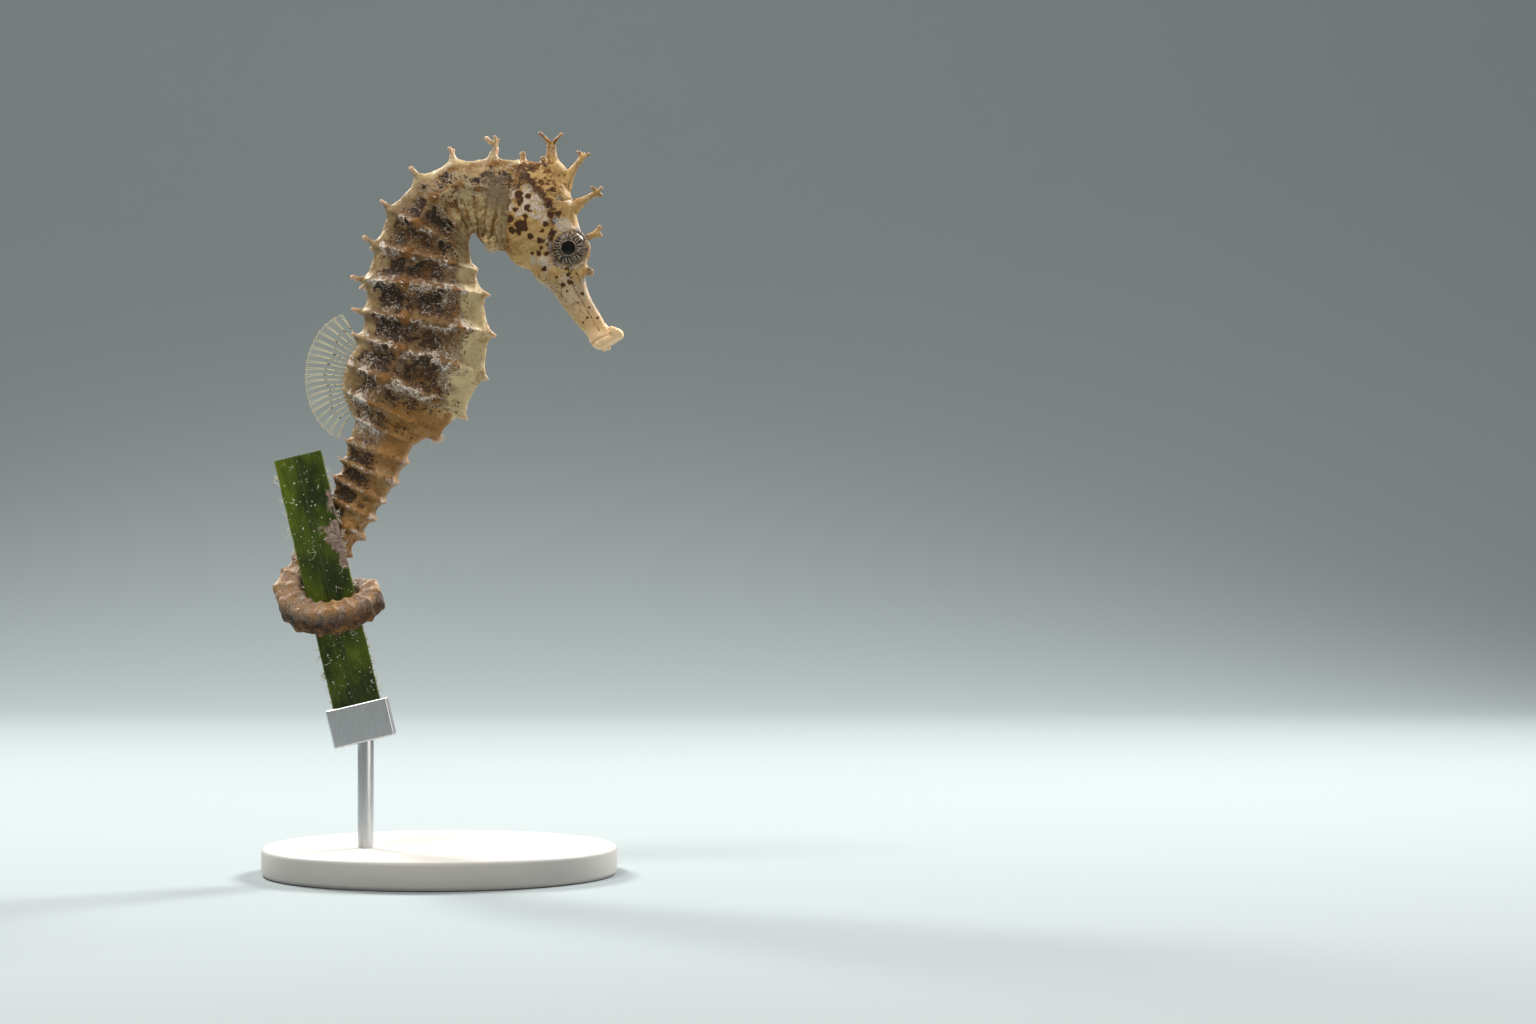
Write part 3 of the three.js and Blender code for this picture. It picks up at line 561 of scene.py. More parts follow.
def back_spine_pieces():
    """A pair of spines on the back at each ring; some have a second prong."""
    pieces = []
    for ring, tip, prong in BACK_SPINES:
        centre, to_back, _, deep, wide = frame_at(trunk_frames, ring)
        root = centre + to_back * deep * 0.93
        size = np.hypot(tip[0] - root[0], tip[1] - root[2])
        for side in (-1, 1):
            start = root + np.array([0, 0.36 * wide * side, 0])
            end_y = start[1] + 0.25 * size * side
            fields = {"ring": float(ring), "girth": 0.02, "side": 0.4 * side}
            end = np.array([tip[0], end_y, tip[1]])
            if ring == NAPE_RING:
                other = (prong[0], end_y + 0.2 * side, prong[1])
                pieces += forked_spine(start, start * 0.35 + end * 0.65, [end, other],
                                       1.35, 0.38, **fields)
                continue
            pieces += plain_spine(start, end, 1.35, **fields)
            if prong:
                other = np.array([prong[0], end_y, prong[1]])
                low = start * 0.8 + other * 0.2
                pieces.append(spine_tube([low, (low + other) / 2, other],
                                         [0.9, 0.45, 0.2], **fields))
    return pieces


def tail_spine_pieces():
    """Short spines along the back of the upper tail."""
    pieces = []
    for ring, reach in TAIL_SPINES:
        station = tail_stations_of_rings(np.array([ring]))[0]
        centre, to_back, _, deep, wide = frame_at(tail_frames, station)
        for side in (-1, 1):
            sideways = np.array([0, 0.55 * wide * side, 0])
            root = centre + to_back * deep * 0.75 + sideways
            end = centre + to_back * (deep + reach) + sideways * 1.15 + [0, 0, 0.3]
            pieces += plain_spine(root, end, 1.0, 0.12, ring=LAST_RING + ring, girth=0.05,
                                  side=0.4 * side, tail=1.0)
    return pieces


def keel_spine_pieces():
    """Small spines along the middle of the belly."""
    pieces = []
    for ring, tip_x, tip_z in KEEL_SPINES:
        centre, to_back, _, deep, _ = frame_at(trunk_frames, ring)
        root = centre - to_back * (deep - 1.1)
        tip = np.array([tip_x, 0, tip_z])
        pieces.append(spine_tube([root, root * 0.4 + tip * 0.6, tip], [1.5, 0.75, 0.22],
                                 ring=float(ring), girth=0.99))
    return pieces


def orbit_pieces():
    """Raised collar of skin that seats each eye; thinner where it meets the profile."""
    turn = np.linspace(0, 2 * math.pi, 49)
    width = 0.52 - 0.16 * np.maximum(np.cos(turn), 0) + 0.05 * np.sin(7 * turn)
    pieces = []
    for side in (-1, 1):
        circle = np.column_stack([
            EYE_CENTRE[0] + ORBIT_RADIUS * np.cos(turn),
            side * (EYE_CENTRE[1] - 0.12 - 0.25 * np.cos(turn)),
            EYE_CENTRE[2] + ORBIT_RADIUS * np.sin(turn),
        ])
        pieces.append(bent_tube(circle, width, sides=12, head=1.0, ring=-6.0, girth=0.4))
    return pieces


def lip_pieces():
    """Swollen upper lip and the two small folds of the lower jaw."""
    fields = {"head": 1.0, "ring": -14.0, "girth": 0.3}
    pieces = []
    for radius, half in LIPS:
        path = half + [(x, -y, z) for x, y, z in half[-2::-1]]
        pieces.append(bent_tube(curve_through(path, 20), np.full(20, radius), **fields))
    for side in (-1, 1):
        pieces.append(ball((29.5, 0.45 * side, 91.9), 0.36, seed=side + 2, lumps=0.2, **fields))
        pieces.append(ball((28.7, 0.90 * side, 91.7), 0.34, seed=side + 5, lumps=0.2, **fields))
    return pieces


def throat_piece():
    """Rounded lower edge of the gill opening, where the throat meets the chest."""
    path = curve_through([(8.6, -2.2, 111.6), (9.3, 0, 110.2), (8.6, 2.2, 111.6)], 14)
    return bent_tube(path, np.full(14, 1.5), ring=0.8, girth=0.95)


# ---- joining the skin
VOXEL = 0.115
RELAX_SHARE = 0.5                   # how far a round moves a value to its neighbours' mean
SKIN_ROUNDS = 3                     # rounds of relaxing for the skin and its fields
FACE_ROUNDS = 60                    # and for the border between head and neck colours


def add_object(name, data):
    thing = bpy.data.objects.new(name, data)
    bpy.context.scene.collection.objects.link(thing)
    return thing


def add_field(mesh, name, values):
    attribute = mesh.attributes.new(name, "FLOAT", "POINT")
    attribute.data.foreach_set("value", np.asarray(values, np.float32))


def mesh_object(name, piece):
    """Object of a piece, with the piece's fields as vertex attributes."""
    mesh = bpy.data.meshes.new(name)
    mesh.from_pydata((piece.points * MM).tolist(), [], piece.faces)
    mesh.update()
    for field, values in piece.fields.items():
        add_field(mesh, field, values)
    return add_object(name, mesh)


def finish_piece(thing, slot, nodes, *materials):
    """Smooths and colours one piece of the part, hangs it on the root body and hides the parts it
    replaces.
    """
    thing.data.shade_smooth()
    for material in materials:
        thing.data.materials.append(material)
    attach(thing, "root")
    if nodes:
        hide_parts(*nodes)


def melted(name, piece, voxel):
    """One closed skin round all the parts of a piece."""
    source = mesh_object(name + "_source", Piece(piece.points, piece.faces))
    remesh = source.modifiers.new("melt", "REMESH")
    remesh.mode = "VOXEL"
    remesh.voxel_size = voxel * MM
    remesh.adaptivity = 0.0
    graph = bpy.context.evaluated_depsgraph_get()
    mesh = bpy.data.meshes.new_from_object(source.evaluated_get(graph))
    bpy.data.objects.remove(source)
    return mesh


def mesh_array(items, name, columns, kind=np.float32):
    """One property of all the items of a mesh, a row for each item."""
    flat = np.empty(len(items) * columns, kind)
    items.foreach_get(name, flat)
    return flat.reshape(-1, columns)


def set_mesh_points(mesh, points):
    mesh.vertices.foreach_set("co", (points * MM).astype(np.float32).ravel())
    mesh.update()


def relaxed(values, edges, rounds):
    """Averages each vertex's value with its neighbours', a few times."""
    size = len(values)
    count = np.maximum(np.bincount(edges.ravel(), minlength=size), 1)[:, None]
    values = values.reshape(size, -1)
    first, second = edges.T
    for _ in range(rounds):
        total = np.column_stack([
            np.bincount(first, column[second], size) + np.bincount(second, column[first], size)
            for column in values.T])
        values = values + (total / count - values) * RELAX_SHARE
    return values


def carried_fields(points, source_points, source_fields):
    """Fields of the source pieces, read at the melted skin's vertices."""
    tree = kdtree.KDTree(len(source_points))
    for index, point in enumerate(source_points):
        tree.insert(point, index)
    tree.balance()
    found = np.empty((len(points), 3), int)
    weight = np.empty((len(points), 3))
    for row, point in enumerate(points):
        hits = tree.find_n(point, 3)
        for column, (_, index, distance) in enumerate(hits):
            found[row, column] = index
            weight[row, column] = 1 / (distance + 0.03) ** 2
    weight /= weight.sum(1, keepdims=True)
    return {name: (value[found] * weight).sum(1) for name, value in source_fields.items()}


# ---- relief on the skin
# Bumps and hollows on each side of the head: x, z, radius, height.
HEAD_RELIEF = [
    (15.4, 113.4, 3.8, 0.50),     # gill cover
    (20.0, 115.6, 1.6, -0.30),    # hollow behind the eye
    (22.1, 114.3, 1.3, -0.40),    # temple
    (17.4, 119.4, 1.8, -0.30),
    (18.1, 107.0, 0.8, 0.45),     # cheek knob
    (24.0, 105.5, 0.8, -0.20),    # before the eye
    (21.6, 104.9, 0.8, -0.25),
    (17.5, 104.0, 0.7, 0.35),     # angle of the jaw
]
THROAT_FOLD = (10.0, 111.8, 0.8, 0.45)
# Grooves in the side view: path of (x, z), half width, depth, how dark the painted shade in the
# groove is.
GILL_EDGE = [(13.6, 123.6), (12.6, 120.8), (11.6, 117.6), (11.0, 115.2), (11.0, 112.0),
             (11.4, 109.4)]
SNOUT_LINE = [(22.6, 106.0), (22.9, 104.1), (23.6, 102.3), (24.7, 100.6), (25.9, 98.4),
              (27.1, 96.4), (28.0, 94.9)]
GROOVES = [
    (GILL_EDGE, 0.30, 0.40, 0.55),
    (SNOUT_LINE, 0.17, 0.12, 0.9),
    ([(18.6, 104.2), (20.3, 102.1), (22.1, 100.2), (23.5, 98.6)], 0.20, 0.12, 0.5),
    ([(26.5, 92.8), (28.2, 93.7), (30.0, 94.5)], 0.14, 0.18, 0.45),
    ([(19.5, 118.5), (21.5, 117.5), (23.6, 118.0)], 0.22, 0.20, 0.25),
    ([(4.0, 115.6), (4.7, 113.0), (5.4, 111.2)], 0.22, 0.30, 0.35),
    ([(6.9, 116.9), (7.0, 114.0), (7.5, 111.4)], 0.22, 0.32, 0.45),
    ([(9.6, 114.2), (9.1, 112.1), (8.6, 110.7)], 0.22, 0.32, 0.35),
    ([(2.0, 111.8), (3.3, 110.4), (4.6, 109.3)], 0.22, 0.28, 0.30),
    ([(2.7, 109.3), (3.9, 108.1), (5.0, 107.4)], 0.22, 0.26, 0.30),
]
NECK_CREASES = (0.62, 1.08, 1.50, 1.95, 2.42, 2.90, 3.42)     # in trunk rings
CREASE_DEPTH = 0.30
# Roughness of the skin: height, size, seed.
BODY_GRAIN = [(0.13, 1.1, 1), (0.07, 0.5, 2)]
FINE_GRAIN = (0.014, 0.24, 3)
SWAY = (3.4, 15)                    # size and seed of the broadest noise


def distance_to_path(x, z, path):
    """Shortest distance in the side view to a line through the given points."""
    best = np.full(len(x), 99.0)
    for (ax, az), (bx, bz) in zip(path[:-1], path[1:]):
        length = (bx - ax) ** 2 + (bz - az) ** 2
        t = np.clip(((x - ax) * (bx - ax) + (z - az) * (bz - az)) / length, 0, 1)
        best = np.minimum(best, np.hypot(x - ax - t * (bx - ax), z - az - t * (bz - az)))
    return best


def blob(x, z, cx, cz, radius):
    """Soft round spot in the side view, 1 at its middle."""
    return bell(np.hypot(x - cx, z - cz), radius)


def from_eye(x, z):
    return np.hypot(x - EYE_CENTRE[0], z - EYE_CENTRE[2])


def head_relief(points, normals, head):
    x, y, z = points.T
    faces_out = np.abs(normals[:, 1])
    sideways = ramp(0.25, 0.7, faces_out)
    height = np.zeros(len(points))
    for cx, cz, radius, amount in HEAD_RELIEF:
        height += amount * blob(x, z, cx, cz, radius) * sideways * head
    cx, cz, radius, amount = THROAT_FOLD
    height += amount * blob(x, z, cx, cz, radius) * sideways
    socket = -0.8 * (1 - ramp(2.2, 2.85, from_eye(x, z)))
    height += socket * ramp(0.1, 0.4, faces_out) * head * (np.abs(y) > 1.2)
    for path, half_width, depth, _ in GROOVES:
        place = distance_to_path(x, z, path)
        height -= depth * bell(place, half_width) * ramp(0.1, 0.35, faces_out)
    return height


def neck_creases(ring, girth, sway):
    """1 in the creases that cross the throat side of the bent neck, 0 between them."""
    creases = np.zeros(len(ring))
    for place in NECK_CREASES:
        creases = np.maximum(creases, bell(ring + 0.10 * sway - place, 0.075))
    return creases * ramp(0.36, 0.56, girth) * ramp(0.99, 0.90, girth)


def shaped_skin():
    """The whole animal's skin as one mesh, with its points before relief and its fields."""
    pieces = [trunk_piece(), tail_piece(), head_piece(), throat_piece()]
    pieces += orbit_pieces() + lip_pieces() + coronet_pieces()
    pieces += back_spine_pieces() + tail_spine_pieces() + keel_spine_pieces()
    whole = joined(pieces)
    mesh = melted("skin", whole, VOXEL)
    edges = mesh_array(mesh.edges, "vertices", 2, np.int32)
    skin = relaxed(mesh_array(mesh.vertices, "co", 3).astype(float) / MM, edges, SKIN_ROUNDS)
    fields = carried_fields(skin, whole.points, whole.fields)
    for name, values in fields.items():
        fields[name] = relaxed(values, edges, SKIN_ROUNDS)[:, 0]
    head = fields["head"]
    fields["face"] = relaxed(head, edges, FACE_ROUNDS)[:, 0]
    set_mesh_points(mesh, skin)
    normals = mesh_array(mesh.vertex_normals, "vector", 3).astype(float)
    rough = 0.35 + 0.65 * ramp(0.9, 0.6, fields["girth"])
    rough *= 1 - 0.75 * head
    height = head_relief(skin, normals, head)
    sway = lattice_noise(skin, *SWAY)
    height -= CREASE_DEPTH * neck_creases(fields["ring"], fields["girth"], sway) * (1 - head)
    for amount, size, seed in BODY_GRAIN:
        height += amount * rough * lattice_noise(skin, size, seed)
    amount, size, seed = FINE_GRAIN
    height += amount * lattice_noise(skin, size, seed)
    set_mesh_points(mesh, skin + normals * height[:, None])
    return mesh, skin, fields


# ---- skin colour masks
# Dark brown spots on the cheek and snout: x, z, radius.
SPOTS = [
    (22.5, 105.7, 0.45), (22.7, 104.7, 0.34), (20.6, 104.2, 0.30),
    (14.5, 113.1, 1.05), (14.2, 111.8, 0.45), (13.0, 112.3, 0.62), (15.3, 112.5, 0.48),
    (12.6, 114.2, 0.72), (11.8, 115.5, 0.50), (15.3, 114.5, 0.50), (13.6, 115.9, 0.42),
    (15.6, 116.0, 0.60), (14.1, 118.2, 0.85), (14.3, 117.2, 0.60), (15.7, 118.1, 0.60),
    (18.7, 113.4, 0.55), (18.2, 112.1, 0.42), (16.1, 111.2, 0.50), (17.9, 110.5, 0.55),
    (19.9, 111.8, 0.65), (19.7, 110.9, 0.45), (19.1, 109.8, 0.35), (14.9, 109.3, 0.18),
    (18.0, 109.3, 0.28), (16.4, 108.3, 0.30), (17.5, 108.3, 0.40), (18.9, 108.3, 0.40),
    (21.0, 115.1, 0.60), (19.7, 114.9, 0.60), (18.5, 105.6, 0.45), (20.5, 104.1, 0.25),
    (21.7, 102.9, 0.38), (22.4, 101.8, 0.28), (22.9, 103.3, 0.45), (24.1, 104.8, 0.20),
    (24.2, 99.8, 0.20), (26.2, 99.0, 0.18), (25.0, 101.4, 0.22), (25.9, 97.2, 0.22),
    (27.6, 97.2, 0.20), (25.1, 96.4, 0.14), (28.8, 96.5, 0.13), (11.4, 110.7, 0.20),
]
# Brown bands of the head: path of (x, z), half width.
HEAD_BANDS = [
    ([(13.8, 123.8), (16.1, 120.8), (18.4, 118.1), (19.8, 115.6), (20.2, 113.8)], 1.0),
    ([(14.6, 121.6), (14.0, 120.0), (14.4, 118.2)], 0.45),
    ([(16.0, 123.0), (18.2, 121.3), (19.6, 119.3)], 0.9),
    ([(19.4, 111.6), (19.6, 109.0), (20.6, 106.4)], 0.5),
    ([(24.4, 112.6), (25.6, 111.2)], 0.5),
]
NAPE_TINT = (12.5, 122.6, 1.9)
COLLAR_RADIUS = 3.45                # of the ring of skin round each eye
# White mottling of the cheek: x, z, radius.
PALE_PATCHES = [
    (12.7, 118.6, 1.2), (12.8, 116.6, 1.0), (14.6, 115.6, 1.2), (16.6, 117.4, 1.6),
    (17.2, 115.4, 1.5), (18.4, 114.2, 0.9), (15.9, 119.4, 0.9), (15.0, 117.2, 0.9),
]
# Smooth bluish-grey patches: x, z, radius, strength.
BLUISH_PATCHES = [
    (21.7, 113.3, 1.25, 1.0), (20.6, 114.0, 0.7, 0.8), (18.1, 107.0, 1.05, 1.0),
    (16.6, 107.2, 0.7, 0.8), (25.4, 103.4, 0.8, 0.8), (10.0, 111.8, 0.9, 0.8),
    (25.0, 113.2, 0.9, 0.7), (19.3, 106.1, 0.7, 0.8), (22.0, 103.6, 1.1, 0.55),
    (23.6, 101.2, 1.0, 0.5), (24.9, 99.2, 0.9, 0.4), (18.6, 104.8, 0.7, 0.5),
    (21.0, 118.0, 0.5, 0.5), (23.0, 117.4, 0.5, 0.5), (19.2, 110.6, 0.7, 0.5),
]
DARK_BY_RING = [0.4, 0.5, 0.6, 0.75, 0.85, 0.85, 0.95, 1.0, 0.95, 0.75, 0.65, 0.7]


class Mottle:
    """Noises over the skin, about -1 to 1, from broad to fine; n in the masks below."""

    def __init__(self, points):
        self.sway, self.coarse = lattice_noise(points, *SWAY), lattice_noise(points, 2.6, 11)
        self.drift, self.medium = lattice_noise(points, 1.6, 16), lattice_noise(points, 1.2, 12)
        self.fine, self.finest = lattice_noise(points, 0.55, 13), lattice_noise(points, 0.30, 14)
        self.ragged = 0.40 * self.coarse + 0.40 * self.medium + 0.35 * self.fine
        self.clumps = 0.5 * self.drift + 0.6 * self.medium + 0.6 * self.fine
        self.lace = ramp(0.30, 0.05, np.abs(self.medium + 0.7 * self.fine))
        self.lace *= ramp(-0.6, 0.2, self.drift)


class TrunkZones:
    """Zones of the trunk, mostly 0 to 1: ring by ring, and from the back 0 to the belly 1."""

    def __init__(self, n, ring, girth, knob):
        on_ring = ring + 0.16 * n.drift + 0.15 * n.medium + 0.10 * n.fine
        self.on_ring = np.clip(on_ring, 0, LAST_RING)
        self.past_ridge = self.on_ring - np.round(self.on_ring)
        self.girth = girth
        self.warped = girth + 0.05 * n.coarse + 0.04 * n.medium + 0.02 * n.fine
        self.shoulder = ramp(2.2, 3.6, self.on_ring)
        self.neck = 1 - self.shoulder
        self.knob = knob
        self.off_knob = 1 - ramp(0.10, 0.45, knob)
        hollow = ramp(0.06, 0.34, np.abs(self.past_ridge))
        self.upper = band(self.warped, 0.13, 0.34, 0.05) * hollow
        self.lower = band(self.warped, 0.39, 0.73, 0.06) * hollow
        self.flank = band(self.warped, 0.10, 0.80, 0.06)
        self.neck_band = band(self.warped, 0.15, 0.33, 0.05) * self.neck
        self.throat = ramp(3.0, 1.4, self.on_ring) * ramp(0.38, 0.60, girth)
        self.creases = neck_creases(ring, girth, n.sway)
        self.smooth_front = ramp(8.8, 9.8, self.on_ring) * ramp(0.40, 0.62, girth)


def trunk_dark(n, zone):
    """Dark hollows between the ridges, a band along the neck and dots by the belly."""
    dark = zone.upper * spline(DARK_BY_RING, zone.on_ring)
    dark = dark + zone.lower * (0.62 + 0.40 * n.coarse)
    dark += zone.flank * 0.70 * n.clumps
    dark = zone.shoulder * dark + zone.neck_band * (0.52 + 0.8 * n.ragged)
    dark *= zone.off_knob
    dots = ramp(0.12, 0.42, n.fine * 0.6 + 0.9 * n.finest + 0.30 * n.drift)
    dotted = dots * band(zone.warped, 0.68, 0.88, 0.03) * zone.shoulder * 0.75
    dark = np.maximum(dark, dotted)
    dark -= 0.5 * ramp(0.12, 0.04, zone.girth)
    return dark * (1 - 0.7 * zone.smooth_front)


def trunk_brown(n, zone):
    """Brown lower flank and neck, with painted shade in the creases of the neck."""
    brown = (0.35 * zone.flank + 0.65 * zone.lower) * zone.shoulder * (0.95 + 0.6 * n.clumps)
    brown += band(zone.warped, 0.32, 0.62, 0.08) * zone.neck * (0.30 + 0.7 * n.clumps)
    brown += 0.5 * zone.shoulder * zone.flank * n.clumps
    brown *= 1 - 0.75 * zone.throat
    # Browner in the neck creases: painted shade.
    brown += zone.creases * (0.34 + 0.4 * n.medium)
    return brown * (1 - 0.85 * zone.smooth_front)


def trunk_cream(n, zone):
    """Cream belly, throat and midline of the neck."""
    cream = ramp(0.79, 0.90, zone.warped) * ramp(3.5, 6.0, zone.on_ring)
    cream *= 1 - ramp(9.2, 10.1, zone.on_ring)
    cream += zone.neck * 0.50 + zone.throat * (0.55 + 0.3 * n.medium)
    cream += zone.neck * ramp(0.09, 0.03, zone.girth) * 0.8
    return cream


def trunk_warm(n, zone):
    """Warm knobs, lower front, neck and midline of the belly."""
    warm = ramp(0.02, 0.55, zone.knob) + 1.3 * zone.smooth_front
    # The 0.3 * creases term deepens the ochre in the neck creases: painted shade.
    warm += zone.neck * ramp(0.4, 0.6, zone.girth) * (0.42 + 0.3 * zone.creases)
    warm += 0.40 * ramp(0.955, 0.995, zone.girth)
    warm += zone.neck * band(zone.girth, 0.06, 0.20, 0.04) * (0.7 + 0.5 * n.medium)
    return warm


def trunk_pale(n, zone):
    """Pale lacy ridges, painted glints on the knob tops and a haze beside the belly."""
    line = bell(zone.past_ridge - 0.05, 0.10)
    lower_body = ramp(8.0, 9.0, zone.on_ring) * (0.06 + 0.5 * n.ragged)
    pale = zone.shoulder * band(zone.warped, 0.10, 0.82, 0.06) * (
        line * (0.78 + 0.35 * n.coarse) + 0.42 * n.lace + 0.30 * n.ragged)
    pale += zone.shoulder * band(zone.warped, 0.10, 0.62, 0.06) * lower_body
    on_neck = zone.neck * (0.6 * n.lace + 0.3 * n.ragged)
    pale += on_neck * band(zone.girth, 0.02, 0.5, 0.05)
    # Small white spots on the knob tops: a painted glint.
    pale_and_glints = 0.9 * ramp(0.4, 0.8, zone.knob) * ramp(0.25, 0.55, n.finest)
    pale = pale * zone.off_knob + pale_and_glints
    haze = zone.shoulder * band(zone.warped, 0.74, 0.88, 0.05) * ramp(4.0, 6.0, zone.on_ring)
    pale += haze * (0.22 + 0.30 * n.coarse + 0.30 * n.finest) * (1 - zone.smooth_front)
    return pale * (1 - 0.8 * zone.smooth_front)


def trunk_masks(n, ring, girth, knob):
    zone = TrunkZones(n, ring, girth, knob)
    flank = zone.shoulder * band(girth, 0.10, 0.82, 0.06) * (1 - 0.9 * zone.smooth_front)
    return {
        "dark": trunk_dark(n, zone), "brown": trunk_brown(n, zone),
        "pale": trunk_pale(n, zone), "cream": trunk_cream(n, zone),
        "warm": trunk_warm(n, zone), "flank": np.maximum(flank, zone.neck_band * 0.8),
    }


def tail_masks(n, ring, girth, side, knob):
    """Dark saddles between the ridges, then an orange coil with a lilac upper face and painted
    shade on its other faces.
    """
    tail_ring = np.clip(ring - LAST_RING, 0, None)
    off_ridge = np.abs(tail_ring - np.round(tail_ring) + 0.06 * n.drift + 0.05 * n.fine)
    warped = girth + 0.04 * n.medium + 0.03 * n.fine
    coil = ramp(7.5, 9.0, tail_ring)
    straight = 1 - coil
    upper_face = np.maximum(-side, 0) * coil
    saddle = ramp(0.08, 0.26, off_ridge) * band(warped, 0.10, 0.50, 0.07)
    dark = (0.78 * saddle + 0.45 * n.clumps) * (1 - ramp(5.2, 7.0, tail_ring))
    # The coil is darker and browner on every face but the upper one: painted shade.
    dark += (coil - upper_face) * (0.46 + 0.5 * n.clumps)
    brown = 0.28 + 0.85 * n.ragged + coil * (0.66 - 0.50 * np.maximum(-side, 0))
    pale = bell(off_ridge, 0.09) * (girth < 0.62) * straight * (0.55 + 0.6 * n.ragged)
    pale += bell(off_ridge, 0.12) * (girth > 0.85) * straight * 0.5
    pale += upper_face * (0.14 + 0.24 * n.lace + 0.5 * n.ragged)
    pale += 0.45 * ramp(0.35, 0.8, knob) * (girth > 0.7)
    return {
        "dark": dark, "brown": brown, "pale": pale,
        "warm": 0.62 + 0.48 * ramp(3, 7, tail_ring),
        "bluish": 0.42 * upper_face * (0.7 + 0.5 * n.medium),
        "flank": band(girth, 0.08, 0.48, 0.08) * straight * 0.8,
    }


def patches(x, z, table, ragged, outside, inside):
    """Ragged patches from rows of x, z, radius and strength, soft over outside and inside."""
    total = np.zeros(len(x))
    for cx, cz, radius, strength in table:
        distance = np.hypot(x - cx, z - cz) + ragged * min(1.0, radius * 2)
        amount = strength * ramp(radius + outside, radius - inside, distance)
        total = np.maximum(total, amount)
    return total


def head_masks(n, x, z):
    """Brown crown and bands, painted shade along the gill edge and in the grooves, white
    mottling, bluish patches, spots and a pale muzzle.
    """
    bands = np.zeros(len(x))
    for path, half_width in HEAD_BANDS:
        place = distance_to_path(x, z, path) + 0.45 * n.ragged
        bands = np.maximum(bands, bell(np.maximum(place, 0), half_width))
    collar = bell(from_eye(x, z) - COLLAR_RADIUS, 0.45)
    crown = ramp(113.5, 119.5, z) * ramp(26.0, 21.0, x)
    rear = ramp(17.0, 14.0, x)
    # Brown and ochre band just inside the rear edge of the gill cover: painted shade along the
    # edge.
    gill_edge = bell(distance_to_path(x - 0.7, z, GILL_EDGE) + 0.3 * n.medium, 1.0)
    brown = crown * (0.28 - 0.15 * rear + 0.80 * n.clumps)
    brown += bands * (0.80 - 0.25 * rear + 0.6 * n.clumps)
    brown += gill_edge * (0.46 + 0.7 * n.ragged)
    brown += 0.7 * ramp(0.40, 0.62, n.finest + 0.3 * n.fine) * ramp(106, 104, z)
    brown += collar * (0.40 + 0.7 * n.fine) + 0.16 * n.finest + 0.10 * n.fine

    whites = [(*patch, 1.0) for patch in PALE_PATCHES]
    white = patches(x, z, whites, 0.6 * n.medium, 0.7, 0.8)
    pale = white * (0.98 + 0.65 * n.fine + 0.70 * n.finest) + 0.5 * collar * n.finest
    bluish = patches(x, z, BLUISH_PATCHES, 0.30 * n.medium, 0.4, 0.4)
    bluish = np.maximum(bluish, 0.7 * collar * (0.7 + 0.5 * n.fine))
    snout = ramp(105.0, 102.5, z) * ramp(95.0, 99.0, z)
    bluish = np.maximum(bluish, snout * (0.42 + 0.35 * n.medium))
    round_spots = [(*spot, 1.0) for spot in SPOTS]
    spots = patches(x, z, round_spots, 0.3 * n.fine + 0.12 * n.finest, 0.18, 0.20)
    # Each groove's line is darkened into the spots mask: painted shade in the groove.
    for path, half_width, _, darkness in GROOVES:
        place = distance_to_path(x, z, path)
        line = bell(place, half_width * 0.55) * (0.62 + 0.35 * n.fine)
        spots = np.maximum(spots, darkness * line)
    nape = blob(x, z, *NAPE_TINT)
    return {
        "warm": nape * (0.9 + 0.4 * n.medium) + gill_edge * (0.70 + 0.4 * n.clumps),
        "dark": bands * (0.34 + 0.35 * n.clumps), "brown": brown, "pale": pale,
        "bluish": bluish, "spots": spots, "lips": ramp(96.0, 94.4, z),
        "muzzle": ramp(101.5, 95.5, z) * ramp(20.0, 24.0, x),
    }


def colour_masks(points, fields):
    """How far each point of the skin takes each colour, 0 to 1."""
    n = Mottle(points)
    x, _, z = points.T
    ring, knob = fields["ring"], fields["knob"]
    head = ramp(0.15, 0.85, fields["face"] + 0.35 * n.fine)
    girth = fields["girth"] + 0.045 * n.sway + 0.03 * n.drift
    tail = fields["tail"] * (1 - head)
    trunk = (1 - ramp(0.3, 0.7, head)) * (1 - tail)
    parts = (
        (trunk, trunk_masks(n, ring, girth, knob)),
        (tail, tail_masks(n, ring, girth, fields["side"], knob)),
        (head, head_masks(n, x, z)),
    )
    masks = {}
    for share, part in parts:
        for name, value in part.items():
            masks[name] = masks.get(name, 0.0) + share * value
    masks = {name: np.clip(value, 0, 1) for name, value in masks.items()}
    return {**masks, "face": head, "knob": knob, "tip": fields["tip"]}


# ---- materials
class Value:
    """One output of a node, with +, - and * that add nodes."""

    def __init__(self, graph, socket):
        self.graph = graph
        self.socket = socket

    def __add__(self, other):
        return self.graph.math("ADD", self, other)

    def __sub__(self, other):
        return self.graph.math("SUBTRACT", self, other)

    def __mul__(self, other):
        return self.graph.math("MULTIPLY", self, other)


